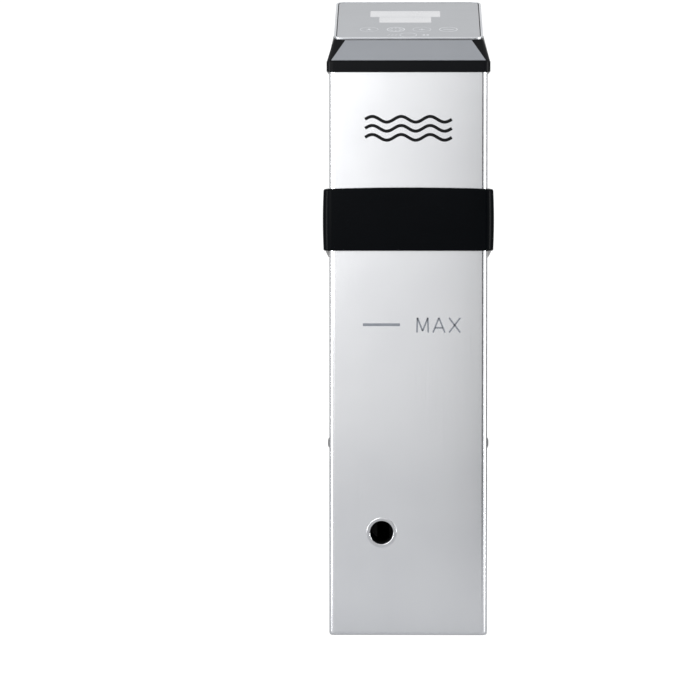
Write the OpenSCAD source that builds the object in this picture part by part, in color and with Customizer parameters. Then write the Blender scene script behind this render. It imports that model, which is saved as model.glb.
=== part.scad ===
// Sous vide circulator: a rectangular steel column with a touch panel on top,
// a black collar with a screw clamp for the pot rim, and a removable lower sleeve
// over the heater and the pump.
// Millimetres. +Z is up, the front faces -Y, and the origin is the middle of the flat base.

/* [Column] */
// Width of the steel column
tube_w = 95; // [90:1:100]
// Depth of the lower steel column
tube_d = 80; // [78:1:84]
// Depth of the upper steel casing, which overhangs the pot rim
upper_d = 126; // [122:1:130]
// Thickness of the steel sheet
sheet = 1; // [0.8:0.1:1.2]
// Radius of the column's upright edges
corner_r = 3.5; // [3:0.5:4.5]

/* [Heights] */
// Underside of the collar at the front
collar_z = 231.5; // [229:0.5:234]
// Height of the collar's front
collar_h = 37; // [36:0.5:40]
// Underside of the control head
head_z = 338.5; // [336:0.5:343]
// Height of the outlet hole above the base
outlet_z = 62; // [60:1:64]

/* [Head] */
// Height of the upright lip round the head
lip_h = 6.8; // [6:0.2:8]
// How far the lip stands out from the steel
lip_out = 1.6; // [1:0.1:2]
// Run of the sloping front facet
facet_run = 14.8; // [13:0.2:16]
// Rise of the sloping front facet
facet_rise = 12.7; // [12:0.1:13.5]
// Backward rise of the touch panel, in degrees
panel_tilt = 16; // [14:0.5:17]
// Level distance from the touch panel's front edge to its back edge
panel_run = 90; // [87:1:92]

/* [Clamp] */
// How far the collar stands out from the steel
collar_out = 3.9; // [3.5:0.1:4.5]
// Height of the clamp screw above the base
screw_z = 212; // [210:1:214]
// Gap between the two clamp pads at rest
rest_gap = 8; // [6:0.5:9]
// Radius of the clamp knob
knob_r = 17; // [15:0.5:19]

/* [Pump] */
// Sideways place of the pump shaft
shaft_x = 8; // [7:0.5:9]
// Radius of the pump shaft
shaft_r = 3; // [2.5:0.5:3]
// Radius of the impeller
impeller_r = 22; // [20:0.5:23]
// Radius of the outlet hole
outlet_r = 8; // [7.5:0.5:8.5]

/* [Hidden] */

$fn = 48;
fit = 0.3;                  // gap between parts that slide or drop into each other
seat = 0.05;                // gap round a shaft, spindle or screw
eps = 0.02;                 // small overrun of a cutter past the face that it cuts

front_y = -tube_d / 2;
tube_back = tube_d / 2;
casing_back = front_y + upper_d;
casing_mid = front_y + upper_d / 2;
steel = [0.78, 0.79, 0.81];
black = [0.07, 0.075, 0.08];
rubber = [0.12, 0.12, 0.125];
board_green = [0.08, 0.3, 0.16];
copper = [0.72, 0.42, 0.2];
white_plastic = [0.86, 0.87, 0.86];

// Collar and clamp
floor_top = collar_z + 19.5;        // the bulkhead rests here
floor_bottom = floor_top - 6;
collar_top = collar_z + collar_h;
collar_back = casing_back + collar_out;
cheek_z = collar_z - 6.4;           // lowest edge of the collar's cheeks
cheek_y = 20;
tongue_y = tube_back + 0.4;
tongue_t = 4;
jaw_t = 10;
jaw_y = casing_back - jaw_t;
bridge_z = collar_z + 5.5;
recess_y = tongue_y + tongue_t + 1.5;
bracket_w = 63;
leg_foot = 194;             // lower end of the clamp's legs
fixed_pad_t = 1.6;
fixed_face = tongue_y + tongue_t + fixed_pad_t;
pad_face = fixed_face + rest_gap;
pad_r = 13;
pad_t = 2.5;
spindle_r = 4;
insert_r = 7;
knob_y = jaw_y + jaw_t + rest_gap + 0.5;
knob_len = 16;

// Bulkhead and dry chamber
flange_z = floor_top;
flange_t = 4;
gasket_t = 1.5;
casing_z = flange_z + flange_t + gasket_t;
spigot_h = 10;
sleeve_top = floor_top - 0.5;

// Rear wall: places are x and z
vent_at = [20, 302];
vent_hole = [44, 34];
gland_at = [-26, 300];

// Motor, on the bulkhead
power_board_y = 62;
bell_t = 6;
motor_r = 29;
motor_z = flange_z + flange_t + 4;
motor_h = 40;
bell_z = motor_z + bell_t + motor_h;
bearing_r = 8;
fan_z = bell_z + bell_t + 4;

// Pump, hung under the pump plate
volute_r = 29.5;
chamber_r = 27;
volute_z = outlet_z - 14;
volute_h = 28;
plate_z = volute_z + volute_h;
plate_t = 3;
cover_t = 2.5;
nozzle_r = 9;
nozzle_bore_r = 7;
outlet_x = shaft_x - chamber_r + 3;
nozzle_end = front_y + sheet + fit;
bush_r = 6;
rod_r = 3;
rod_x = 38;
rod_y = 31;

bumper_z = 113.5;

// Heater
heater_r = 4;
heater_loop = [39, 31];
heater_bend = 12;
heater_pitch = 11;
heater_z = 14;
heater_legs_x = [-26, -12];
heater_collar_r = 5.4;

probe_at = [36, -24];
level_at = [[28, 30], [36, 24]];

// Head
head_front = front_y - lip_out - 0.4;
head_back = casing_back + lip_out + 0.4;
head_half_w = tube_w / 2 + lip_out;
slope_z = head_z + lip_h;
top_front = head_front + facet_run;
top_z = slope_z + facet_rise;
top_half_w = 45;
top_len = panel_run / cos(panel_tilt);
panel_len = top_len - 2;
panel_r = 5.5;
bezel_w = 0.9;
head_wall = 2.4;
brow = 26;                 // depth of the brow over the front facet, at its foot
brow_top = 10;             // and up the panel
shoulder_h = 3.2;          // rise of the shoulders above the lip
facet_angle = atan2(facet_rise, facet_run);
facet_len = sqrt(facet_run * facet_run + facet_rise * facet_rise);
board_t = 1.6;
board_top = -7.2;          // top of the control board, in the panel's frame
display_bars = [[-2, 53.9, 43, 15], [-2, 39.8, 31.8, 14]];   // middle x, near edge, width, length
board_near = 10;           // front edge of the control board, up the panel
board_size = [76, 74, board_t];
post_places = [[-33, 14], [33, 14], [-33, 80], [33, 80]];

// A flat rectangle with true round corners
module rounded(w, d, r) {
    square([w - 2 * r, d], center = true);
    square([w, d - 2 * r], center = true);
    for (x = [-1, 1], y = [-1, 1]) translate([x * (w / 2 - r), y * (d / 2 - r)]) circle(r);
}

// An upright block with round upright edges, standing on the plane z = 0
module block(w, d, h, r) {
    linear_extrude(h) rounded(w, d, r);
}

module at_casing_mid() {
    translate([0, casing_mid, 0]) children();
}

module at_shaft() {
    translate([shaft_x, 0, 0]) children();
}

// The touch panel's own frame: x across, y back along the panel, z off its face
module on_panel() {
    translate([0, top_front, top_z]) rotate([panel_tilt, 0, 0]) children();
}

// A cylinder along +Y from y = a to y = b
module lying(r, a, b) {
    translate([0, a, 0]) rotate([-90, 0, 0]) cylinder(r = r, h = b - a);
}

// A screw with a pan head, standing head down at the origin and pointing up
module screw_up(head_r, head_h, shank_r, shank_h) {
    cylinder(r = head_r, h = head_h);
    translate([0, 0, head_h - eps]) cylinder(r = shank_r, h = shank_h + eps);
}

module ring(r_out, r_in, h) {
    difference() {
        cylinder(r = r_out, h = h);
        translate([0, 0, -eps]) cylinder(r = r_in, h = h + 2 * eps);
    }
}

// ---------------------------------------------------------------- control head

// A plate of the head at one level, from y = a to y = b, taken in by t at the sides
module head_plate(half_w, a, b, t, r) {
    translate([0, (a + b) / 2, 0]) block(2 * (half_w - t), b - a, 0.5, r);
}

// The head above its lip, taken in by t on every side: a brow that carries the front facet,
// shoulders along the lip, and a body that rises to the panel and falls away behind it
module head_top(t) {
    hull() {
        translate([0, 0, slope_z - 0.5])
            head_plate(head_half_w, head_front + t, head_front + brow - t, t, 4 - t);
        on_panel() translate([0, 0, -0.6 - t]) head_plate(top_half_w - 0.1, t + 0.1, brow_top, t, 1.2);
    }
    hull() {
        translate([0, 0, slope_z - 0.6])
            head_plate(head_half_w - 0.1, head_front + t + 0.1, head_back - t - 0.1, t, 4 - t);
        translate([0, 0, slope_z + shoulder_h - 0.5 - t])
            head_plate(top_half_w - 0.05, top_front, head_back - t - 3, t, 1.2);
    }
    hull() {
        translate([0, 0, slope_z - 0.7])
            head_plate(top_half_w, top_front + 1 + t, head_back - t - 2, t, 1.2);
        on_panel() translate([0, 0, -0.5 - t]) head_plate(top_half_w, t, top_len - t, t, 1.2);
    }
}

module head_housing() {
    skirt_w = tube_w - 2 * sheet - 2 * fit;
    skirt_d = upper_d - 2 * sheet - 2 * fit;
    skirt_h = 5;
    skirt_t = 2;
    color(black) difference() {
        union() {
            translate([0, casing_mid, head_z])
                block(2 * head_half_w, head_back - head_front, lip_h, 4);
            head_top(0);
            at_casing_mid() translate([0, 0, head_z - skirt_h])
                block(skirt_w, skirt_d, skirt_h + eps, corner_r - sheet);
        }
        at_casing_mid() translate([0, 0, head_z - skirt_h - 1])
            block(skirt_w - 2 * skirt_t, skirt_d - 2 * skirt_t, skirt_h + 1 + lip_h, 2);
        head_top(head_wall);
        on_panel() translate([0, 1 + panel_len / 2, -1.5])
            block(2 * top_half_w - 1, panel_len - 1, 3, panel_r - 0.5);
        on_panel() translate([0, 1 + panel_len / 2, -4])
            block(2 * top_half_w - 6, panel_len - 6, 4, 3);
        facet_seat(1.2);
    }
}

// The frame of the sloping front facet: x across, y up the slope, z off its face
module on_facet() {
    translate([0, head_front, slope_z]) rotate([facet_angle, 0, 0]) children();
}

module facet_outline(inset) {
    polygon([
        [-46.2 + inset, 0.6], [46.2 - inset, 0.6],
        [38.6 - inset, facet_len - 0.7], [-38.6 + inset, facet_len - 0.7]
    ]);
}

module facet_seat(depth) {
    on_facet() translate([0, 0, -depth]) linear_extrude(depth + 3) facet_outline(0);
}

module front_facet() {
    color([0.62, 0.64, 0.67]) on_facet() translate([0, 0, -1.2]) linear_extrude(1.4) facet_outline(0.05);
}

module panel_bezel() {
    color([0.85, 0.86, 0.87]) on_panel() translate([0, 1 + panel_len / 2, 0]) difference() {
        block(2 * top_half_w, panel_len, 1.2, panel_r);
        translate([0, 0, -eps])
            block(2 * (top_half_w - bezel_w), panel_len - 2 * bezel_w, 1.2 + 2 * eps, panel_r - bezel_w);
    }
}

module board_posts() {
    for (p = post_places) translate([p[0], p[1], 0]) children();
}

module display_bar(b, inset, z, h) {
    translate([b[0], b[1] + b[3] / 2, z])
        cube([b[2] - 2 * inset, b[3] - 2 * inset, 2 * h], center = true);
}

module touch_panel() {
    cover_w = 2 * (top_half_w - bezel_w) - 0.2;
    cover_len = panel_len - 2 * bezel_w - 0.2;
    color([0.7, 0.72, 0.74]) on_panel() difference() {
        translate([0, 1 + panel_len / 2, -1.5]) block(cover_w, cover_len, 2.5, panel_r - bezel_w - 0.1);
        for (b = display_bars) display_bar(b, 0, 0, 3);
    }
    color([0.7, 0.72, 0.74]) on_panel() board_posts() translate([0, 0, board_top])
        ring(3.4, 1.6 + seat, -1.4 - board_top);
}

module display_windows() {
    color([0.92, 0.93, 0.94]) on_panel() for (b = display_bars)
        translate([b[0], b[1] + b[3] / 2, -0.25]) cube([b[2] - 0.1, b[3] - 0.1, 2.5], center = true);
}

module led_module() {
    color(white_plastic) on_panel() translate([-2, 54.3, -4.4]) cube([50, 33, 5.6], center = true);
}

module control_board() {
    color(board_green) on_panel() difference() {
        translate([-board_size[0] / 2, board_near, board_top - board_t]) cube(board_size);
        board_posts() translate([0, 0, board_top - 3]) cylinder(r = 1.7, h = 4);
    }
}

module board_screws() {
    color(steel) on_panel() board_posts() translate([0, 0, board_top - board_t - 2]) screw_up(3, 2, 1.6, 5);
}

// Flat cable from the control board back and down to the power board
module ribbon_cable() {
    back = power_board_y + board_t;
    foot = casing_z + 66;
    color([0.75, 0.75, 0.72]) translate([-3, 0, 0]) rotate([90, 0, 90]) linear_extrude(20)
        polygon([
            [back, foot], [back + 1, foot], [back + 1, head_z + 28.5],
            [50, head_z + 32], [50, head_z + 31], [back, head_z + 27.7]
        ]);
}

// ---------------------------------------------------------------- upper casing

module at_vent() {
    translate([vent_at[0], 0, vent_at[1]]) children();
}

module at_gland() {
    translate([gland_at[0], 0, gland_at[1]]) children();
}

// Stands a flat shape up in the rear wall's plane, t thick towards +Y
module vent_plate(t) {
    rotate([-90, 0, 0]) linear_extrude(t) children();
}

module upper_casing() {
    color(steel) difference() {
        at_casing_mid() translate([0, 0, casing_z]) block(tube_w, upper_d, head_z - casing_z, corner_r);
        at_casing_mid() translate([0, 0, casing_z - 1])
            block(tube_w - 2 * sheet, upper_d - 2 * sheet, head_z - casing_z + 2, corner_r - sheet);
        at_vent() translate([0, casing_back - 3, 0]) vent_plate(6) square(vent_hole, center = true);
        at_gland() lying(8, casing_back - 3, casing_back + 3);
    }
}

module vent_grille() {
    slats = 7;
    color(black) at_vent() {
        difference() {
            union() {
                translate([0, casing_back, 0]) vent_plate(1.6) rounded(vent_hole[0] + 6, vent_hole[1] + 6, 3);
                translate([0, casing_back - 3, 0]) vent_plate(3 + eps)
                    square([vent_hole[0] - 0.4, vent_hole[1] - 0.4], center = true);
            }
            translate([0, casing_back - 4, 0]) vent_plate(8)
                square([vent_hole[0] - 4, vent_hole[1] - 4], center = true);
        }
        for (i = [0 : slats - 1])
            translate([-20.5, casing_back - 2.4, -13.2 + i * 4]) rotate([-25, 0, 0]) cube([41, 3.2, 1.4]);
    }
}

module cable_gland() {
    color(black) at_gland() difference() {
        union() {
            lying(7.9, casing_back - 6, casing_back + eps);
            lying(10.5, casing_back, casing_back + 3);
            translate([0, casing_back + 3 - eps, 0]) rotate([-90, 0, 0]) cylinder(r1 = 8, r2 = 5.6, h = 15);
        }
        lying(3.6, casing_back - 7, casing_back + 20);
    }
}

module gland_nut() {
    color(black) at_gland() difference() {
        translate([0, casing_back - 5, 0]) rotate([-90, 0, 0]) cylinder(r = 12, h = 3.8, $fn = 6);
        lying(7.9 + seat, casing_back - 6, casing_back);
    }
}

// ---------------------------------------------------------------- collar and clamp

// Side view of the collar: y back, z up
module collar_side() {
    polygon([
        [front_y - collar_out - 1, collar_z], [front_y + 4, collar_z],
        [cheek_y, cheek_z], [tongue_y + tongue_t, cheek_z],
        [tongue_y + tongue_t, bridge_z], [collar_back + 1, bridge_z],
        [collar_back + 1, collar_top], [front_y - collar_out - 1, collar_top]
    ]);
}

module collar() {
    color(black) difference() {
        intersection() {
            translate([0, (front_y - collar_out + collar_back) / 2, cheek_z - 5])
                block(tube_w + 2 * collar_out, collar_back - front_y + collar_out, 80, 5.5);
            translate([-60, 0, 0]) rotate([90, 0, 90]) linear_extrude(120) collar_side();
        }
        translate([0, 0, cheek_z - 10]) block(tube_w + 2 * fit, tube_d + 2 * fit, 60, corner_r + fit);
        at_casing_mid() translate([0, 0, floor_top])
            block(tube_w + 2 * fit + 0.1, upper_d + 2 * fit + 0.1, 30, corner_r + fit + 0.05);
        translate([0, (recess_y + casing_back + fit) / 2, bridge_z - 5])
            block(tube_w + 2 * fit, casing_back + fit - recess_y, floor_bottom - bridge_z + 5, 2);
        translate([-bracket_w / 2 - 0.2, tube_back - 1, cheek_z - 5])
            cube([bracket_w + 0.4, tongue_t + 3, floor_bottom - cheek_z + 5]);
        bracket_screw_places() translate([0, 0, -1]) cylinder(r = 1.8, h = 20);
    }
}

module bracket_screw_places() {
    for (x = [-22, 22], y = [52, 70]) translate([x, y, floor_bottom]) children();
}

// Front view of a clamp leg: half width top at z = 0, bottom half width low at z = -h
module leg_outline(top, low, h) {
    polygon([[-top, 0], [-low, -h + 6], [-low + 6, -h], [low - 6, -h], [low, -h + 6], [top, 0]]);
}

module clamp_bracket() {
    half = bracket_w / 2;
    leg_h = bridge_z + eps - leg_foot;
    color(black) difference() {
        union() {
            translate([-half, tongue_y, bridge_z])
                cube([bracket_w, jaw_y + jaw_t - tongue_y, floor_bottom - bridge_z]);
            translate([0, tongue_y + tongue_t, bridge_z + eps]) rotate([90, 0, 0])
                linear_extrude(tongue_t) leg_outline(half, 25, leg_h);
            translate([0, jaw_y + jaw_t, bridge_z + eps]) rotate([90, 0, 0])
                linear_extrude(jaw_t) leg_outline(half, 19, leg_h);
        }
        translate([0, 0, screw_z]) lying(insert_r + seat, jaw_y - 1, jaw_y + jaw_t + 1);
        bracket_screw_places() translate([0, 0, -20]) {
            cylinder(r = 1.8, h = 40);
            cylinder(r = 3.6, h = 15);
        }
    }
}

module fixed_jaw_pad() {
    color(rubber) translate([0, tongue_y + tongue_t + fixed_pad_t, screw_z + 5]) rotate([90, 0, 0])
        linear_extrude(fixed_pad_t) rounded(44, 38, 4);
}

module thread_insert() {
    color([0.78, 0.62, 0.3]) translate([0, 0, screw_z]) difference() {
        lying(insert_r, jaw_y, jaw_y + jaw_t);
        lying(spindle_r + seat, jaw_y - 1, jaw_y + jaw_t + 1);
    }
}

module bracket_screws() {
    color(steel) bracket_screw_places() translate([0, 0, -7.4]) screw_up(3.4, 2.4, 1.7, 13);
}

// ---------------------------------------------------------------- bulkhead

module bulkhead_holes() {
    at_shaft() translate([0, 0, -eps]) cylinder(r = bearing_r, h = 60);
    for (x = heater_legs_x) translate([x, rod_y, -eps]) cylinder(r = heater_collar_r + seat, h = 60);
    translate([probe_at[0], probe_at[1], -eps]) cylinder(r = 2 + seat, h = 60);
    for (p = level_at) translate([p[0], p[1], -eps]) cylinder(r = 1.5 + seat, h = 60);
}

module bulkhead() {
    inner_w = tube_w - 2 * sheet - 2 * fit;
    inner_d = tube_d - 2 * sheet - 2 * fit;
    color([0.25, 0.26, 0.27]) difference() {
        union() {
            translate([0, casing_mid, flange_z]) block(tube_w, upper_d, flange_t, corner_r);
            translate([0, 0, flange_z - spigot_h]) block(inner_w, inner_d, spigot_h + eps, corner_r - sheet);
        }
        translate([0, 0, flange_z - spigot_h + 3]) difference() {
            block(inner_w + 2, inner_d + 2, 3.2, corner_r);
            translate([0, 0, -1]) block(inner_w - 4, inner_d - 4, 6, 1);
        }
        translate([0, 0, flange_z - spigot_h]) bulkhead_holes();
        bracket_screw_places() cylinder(r = 1.8, h = 9);
    }
}

module casing_gasket() {
    color([0.6, 0.25, 0.2]) translate([0, casing_mid, flange_z + flange_t]) difference() {
        block(tube_w, upper_d, gasket_t, corner_r);
        translate([0, 0, -1]) block(tube_w - 7, upper_d - 7, gasket_t + 2, 2);
    }
}

module sleeve_seal() {
    inner_w = tube_w - 2 * sheet;
    inner_d = tube_d - 2 * sheet;
    color([0.6, 0.25, 0.2]) translate([0, 0, flange_z - spigot_h + 3.1]) difference() {
        block(inner_w - 0.3, inner_d - 0.3, 3, corner_r - sheet);
        translate([0, 0, -1]) block(inner_w - 2 * fit - 3.8, inner_d - 2 * fit - 3.8, 5, 1.1);
    }
}

module shaft_seal() {
    color(rubber) at_shaft() translate([0, 0, flange_z - spigot_h + 1])
        ring(bearing_r - seat, shaft_r + seat, 7);
}

// ---------------------------------------------------------------- motor and electrics

module motor_case() {
    color(steel) at_shaft() translate([0, 0, motor_z + bell_t]) ring(motor_r, motor_r - 1.8, motor_h);
}

module end_bell(z, spigot_side) {
    at_shaft() translate([0, 0, z]) difference() {
        union() {
            cylinder(r = motor_r, h = bell_t);
            translate([0, 0, spigot_side > 0 ? bell_t - eps : -2])
                cylinder(r = motor_r - 1.8 - seat, h = 2 + eps);
        }
        translate([0, 0, -3]) cylinder(r = bearing_r + seat, h = 12);
        for (a = [45 : 90 : 315]) rotate(a) translate([23, 0, -3]) cylinder(r = 1.7, h = 12);
        if (spigot_side < 0) for (a = [0 : 60 : 300]) rotate(a)
            translate([16, 0, -3]) cylinder(r = 3.4, h = 12);
    }
}

module lower_end_bell() {
    color([0.6, 0.61, 0.62]) {
        end_bell(motor_z, 1);
        at_shaft() for (a = [0 : 90 : 270]) rotate(a)
            translate([25, 0, flange_z + flange_t])
                cylinder(r = 3.5, h = motor_z - flange_z - flange_t + eps);
    }
}

module upper_end_bell() {
    color([0.6, 0.61, 0.62]) end_bell(bell_z, -1);
}

module stator_core() {
    color([0.45, 0.46, 0.48]) at_shaft() translate([0, 0, motor_z + bell_t + 8]) difference() {
        cylinder(r = motor_r - 1.9, h = 24);
        translate([0, 0, -1]) cylinder(r = 17.6, h = 26);
        for (a = [30 : 60 : 330]) rotate(a) translate([21.5, 0, -1]) cylinder(r = 2.6, h = 26);
    }
}

module stator_coils() {
    color(copper) at_shaft() for (z = [motor_z + bell_t + 3.5, motor_z + bell_t + 32])
        translate([0, 0, z]) ring(25.4, 18, 4.5);
}

module motor_bearings() {
    color(steel) at_shaft() for (z = [motor_z + 0.5, bell_z + 0.5])
        translate([0, 0, z]) ring(bearing_r, shaft_r + seat, 5);
}

module motor_screws() {
    color(steel) at_shaft() for (a = [45 : 90 : 315]) rotate(a)
        translate([23, 0, bell_z + bell_t + 2.4]) rotate([180, 0, 0]) screw_up(3, 2.4, 1.6, bell_t - 0.5);
}

module power_board() {
    color(board_green) translate([-42, power_board_y, casing_z + 1]) cube([84, board_t, 72]);
}

// Grooved posts that stand on the bulkhead and hold the power board by its edges
module board_brackets() {
    color(black) for (m = [0, 1]) mirror([m, 0, 0]) translate([37.9, 0, flange_z + flange_t]) difference() {
        translate([0, power_board_y - 3, 0]) cube([6, 8, 76]);
        translate([-1, power_board_y - seat, casing_z + 1 - flange_z - flange_t - seat])
            cube([5.2, board_t + 2 * seat, 80]);
    }
}

module power_components() {
    back = power_board_y + board_t;
    color([0.2, 0.22, 0.3]) {
        translate([4, back, casing_z + 6]) cube([30, 18, 26]);
        translate([-34, back, casing_z + 6]) cube([18, 14, 14]);
        for (x = [-26, -10]) translate([x, back, casing_z + 62]) rotate([-90, 0, 0]) cylinder(r = 6, h = 14);
        translate([18, back, casing_z + 60]) cube([14, 5, 12]);
    }
}

module heat_sink() {
    color([0.7, 0.71, 0.72]) translate([-14, power_board_y + board_t, casing_z + 6]) {
        cube([16, 2.5, 30]);
        for (i = [0 : 4]) translate([i * 3.5, 2.5 - eps, 0]) cube([1.6, 12, 30]);
    }
}

// ---------------------------------------------------------------- frame, pump and heater

module rod_places() {
    for (x = [-rod_x, rod_x], y = [-rod_y, rod_y]) translate([x, y, 0]) children();
}

module support_rods() {
    color(steel) rod_places() translate([0, 0, plate_z + plate_t]) difference() {
        cylinder(r = rod_r, h = flange_z - spigot_h - plate_z - plate_t);
        translate([0, 0, -1]) cylinder(r = 1.55, h = 10);
    }
}

module rod_screws() {
    color(steel) rod_places() translate([0, 0, plate_z - 2.2]) screw_up(2.9, 2.2, 1.5, plate_t + 7);
}

module pump_plate() {
    color(steel) translate([0, 0, plate_z]) difference() {
        block(88, 72, plate_t, 6);
        translate([shaft_x, 0, -1]) cylinder(r = bush_r + seat, h = 6);
        rod_places() translate([0, 0, -1]) cylinder(r = 1.7, h = 6);
        translate([probe_at[0], probe_at[1], -1]) cylinder(r = 2.4, h = 6);
        translate([-31.2, rod_y - 5.2, -1]) cube([24.4, 12, 6]);
        for (a = [45 : 90 : 315]) translate([shaft_x, 0, -1]) rotate(a)
            translate([20, 0, 0]) cylinder(r = 1.7, h = 6);
        for (y = [-1, 1]) translate([-25, y * 12, -1]) cylinder(r = 5, h = 6);
    }
}

module pump_housing() {
    color([0.16, 0.165, 0.17]) difference() {
        union() {
            at_shaft() translate([0, 0, volute_z]) cylinder(r = volute_r, h = volute_h);
            translate([outlet_x, 0, outlet_z]) lying(nozzle_r, nozzle_end, 4);
        }
        at_shaft() translate([0, 0, volute_z - 1]) cylinder(r = chamber_r, h = volute_h - 2);
        at_shaft() cylinder(r = bush_r + seat, h = 200);
        translate([outlet_x, 0, outlet_z]) lying(nozzle_bore_r, nozzle_end - 1, 2);
        for (a = [45 : 90 : 315]) at_shaft() rotate(a) translate([20, 0, 0]) cylinder(r = 1.55, h = 200);
    }
}

module pump_cover() {
    color([0.16, 0.165, 0.17]) at_shaft() translate([0, 0, volute_z - cover_t]) difference() {
        union() {
            cylinder(r = volute_r, h = cover_t);
            translate([0, 0, cover_t - eps]) ring(chamber_r - seat, chamber_r - 2, 2);
        }
        translate([0, 0, -1]) cylinder(r = 12, h = 6);
    }
}

// Screws that hold the pump to its plate
module pump_screws() {
    color(steel) at_shaft() for (a = [45 : 90 : 315]) rotate(a)
        translate([20, 0, plate_z + plate_t + 2.2]) rotate([180, 0, 0]) screw_up(2.9, 2.2, 1.5, plate_t + 2);
}

module shaft_bush() {
    color([0.78, 0.62, 0.3]) at_shaft() translate([0, 0, plate_z - 3])
        ring(bush_r, shaft_r + seat, plate_t + 5);
}

// One closed turn of round bar with the middle line on a rounded rectangle
module bar_loop(half_x, half_y, bend, r) {
    for (x = [-1, 1]) translate([x * half_x, 0, 0]) lying(r, -half_y + bend - eps, half_y - bend + eps);
    for (y = [-1, 1]) translate([-half_x + bend - eps, y * half_y, 0]) rotate([0, 90, 0])
        cylinder(r = r, h = 2 * (half_x - bend + eps));
    for (q = [[1, 1, 0], [-1, 1, 90], [-1, -1, 180], [1, -1, 270]])
        translate([q[0] * (half_x - bend), q[1] * (half_y - bend), 0]) rotate(q[2])
            rotate_extrude(angle = 90) translate([bend, 0]) circle(r);
}

module heater_tube() {
    color([0.55, 0.54, 0.52]) {
        for (i = [0 : 2]) translate([0, 0, heater_z + i * heater_pitch])
            bar_loop(heater_loop[0], heater_loop[1], heater_bend, heater_r);
        for (x = heater_legs_x) translate([x, rod_y, heater_z])
            cylinder(r = heater_r - 0.1, h = flange_z + flange_t + 6 - heater_z);
    }
}

module heater_collars() {
    color([0.78, 0.62, 0.3]) for (x = heater_legs_x) translate([x, rod_y, flange_z - spigot_h - 2])
        ring(heater_collar_r, heater_r - 0.1 + seat, spigot_h + flange_t + 4);
}

module temperature_probe() {
    color(steel) translate([probe_at[0], probe_at[1], 0]) {
        translate([0, 0, 48]) cylinder(r = 2, h = flange_z + flange_t + 3 - 48);
        translate([0, 0, 48]) sphere(r = 2);
    }
}

module level_pins() {
    color(steel) for (p = level_at) translate([p[0], p[1], plate_z + plate_t + 6])
        cylinder(r = 1.5, h = flange_z + flange_t + 3 - plate_z - plate_t - 6);
}

// ---------------------------------------------------------------- what turns on the shaft

module drive_shaft() {
    color(steel) at_shaft() translate([0, 0, volute_z + 3]) cylinder(r = shaft_r, h = fan_z + 12 - volute_z - 3);
}

module rotor_core() {
    color([0.3, 0.31, 0.33]) at_shaft() translate([0, 0, motor_z + bell_t + 8]) ring(17, shaft_r + seat, 24);
}

module blade(r_in, r_out, t, h, sweep) {
    rotate(sweep) translate([r_in, -t / 2, 0]) cube([r_out - r_in, t, h]);
}

module impeller() {
    color([0.2, 0.21, 0.22]) at_shaft() translate([0, 0, volute_z + 5]) difference() {
        union() {
            cylinder(r = 6.5, h = 16);
            translate([0, 0, 12]) cylinder(r = impeller_r, h = 2);
            for (a = [0 : 60 : 300]) rotate(a) translate([0, 5, 0]) blade(0, impeller_r - 2, 1.6, 12 + eps, 0);
        }
        translate([0, 0, -1]) cylinder(r = shaft_r + seat, h = 20);
    }
}

module cooling_fan() {
    color([0.2, 0.21, 0.22]) at_shaft() translate([0, 0, fan_z]) difference() {
        union() {
            cylinder(r = 8, h = 9);
            for (a = [0 : 360 / 7 : 359]) rotate(a) translate([7, 0, 4.5]) rotate([35, 0, 0])
                translate([0, -4.5, -0.7]) cube([17, 9, 1.4]);
        }
        translate([0, 0, -1]) cylinder(r = shaft_r + seat, h = 12);
    }
}

// ---------------------------------------------------------------- removable sleeve

module slot_row(count, pitch, w, l) {
    for (i = [0 : count - 1]) translate([(i - (count - 1) / 2) * pitch, 0]) {
        square([w, l - w], center = true);
        for (s = [-1, 1]) translate([0, s * (l - w) / 2]) circle(w / 2, $fn = 24);
    }
}

module lower_sleeve() {
    color(steel) difference() {
        block(tube_w, tube_d, sleeve_top, corner_r);
        translate([0, 0, -1]) block(tube_w - 2 * sheet, tube_d - 2 * sheet, sleeve_top + 2, corner_r - sheet);
        translate([outlet_x, 0, outlet_z]) lying(outlet_r, front_y - 1, front_y + 3);
        translate([-60, 0, 27]) rotate([90, 0, 90]) linear_extrude(120) slot_row(7, 9, 3.4, 28);
        translate([-60, 0, bumper_z]) rotate([0, 90, 0]) cylinder(r = 2.2, h = 120);
    }
}

module base_cap() {
    color(steel) difference() {
        block(tube_w - 2 * sheet - 0.1, tube_d - 2 * sheet - 0.1, 2.5, corner_r - sheet);
        for (y = [-20, 20]) translate([0, y, -1]) linear_extrude(5) slot_row(9, 9, 3.4, 24);
    }
}

module outlet_ring() {
    color(steel) translate([outlet_x, 0, outlet_z]) difference() {
        union() {
            lying(outlet_r - seat, front_y - 0.6, front_y + sheet);
            lying(outlet_r + 1, front_y - 0.6, front_y);
        }
        lying(nozzle_bore_r, front_y - 2, front_y + 3);
    }
}

module side_bumpers() {
    color(rubber) for (m = [0, 1]) mirror([m, 0, 0]) translate([tube_w / 2, 0, bumper_z]) rotate([0, 90, 0]) {
        cylinder(r = 3.4, h = 1.4);
        translate([0, 0, -sheet - eps]) cylinder(r = 2.15, h = sheet + 2 * eps);
        translate([0, 0, -sheet - 1]) cylinder(r = 2.8, h = 1);
    }
}

// ---------------------------------------------------------------- clamp screw

module pressure_pad() {
    color(rubber) translate([0, 0, screw_z]) lying(pad_r, pad_face, pad_face + pad_t);
}

module pad_holder() {
    color(black) translate([0, 0, screw_z]) difference() {
        union() {
            lying(pad_r, pad_face + pad_t, pad_face + 2 * pad_t);
            lying(insert_r, pad_face + 2 * pad_t - eps, pad_face + 2 * pad_t + 4);
        }
        lying(spindle_r + seat, pad_face + pad_t + 1, pad_face + 20);
    }
}

module clamp_spindle() {
    color(steel) translate([0, 0, screw_z]) lying(spindle_r, pad_face + pad_t + 1.2, knob_y + 13);
}

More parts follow.
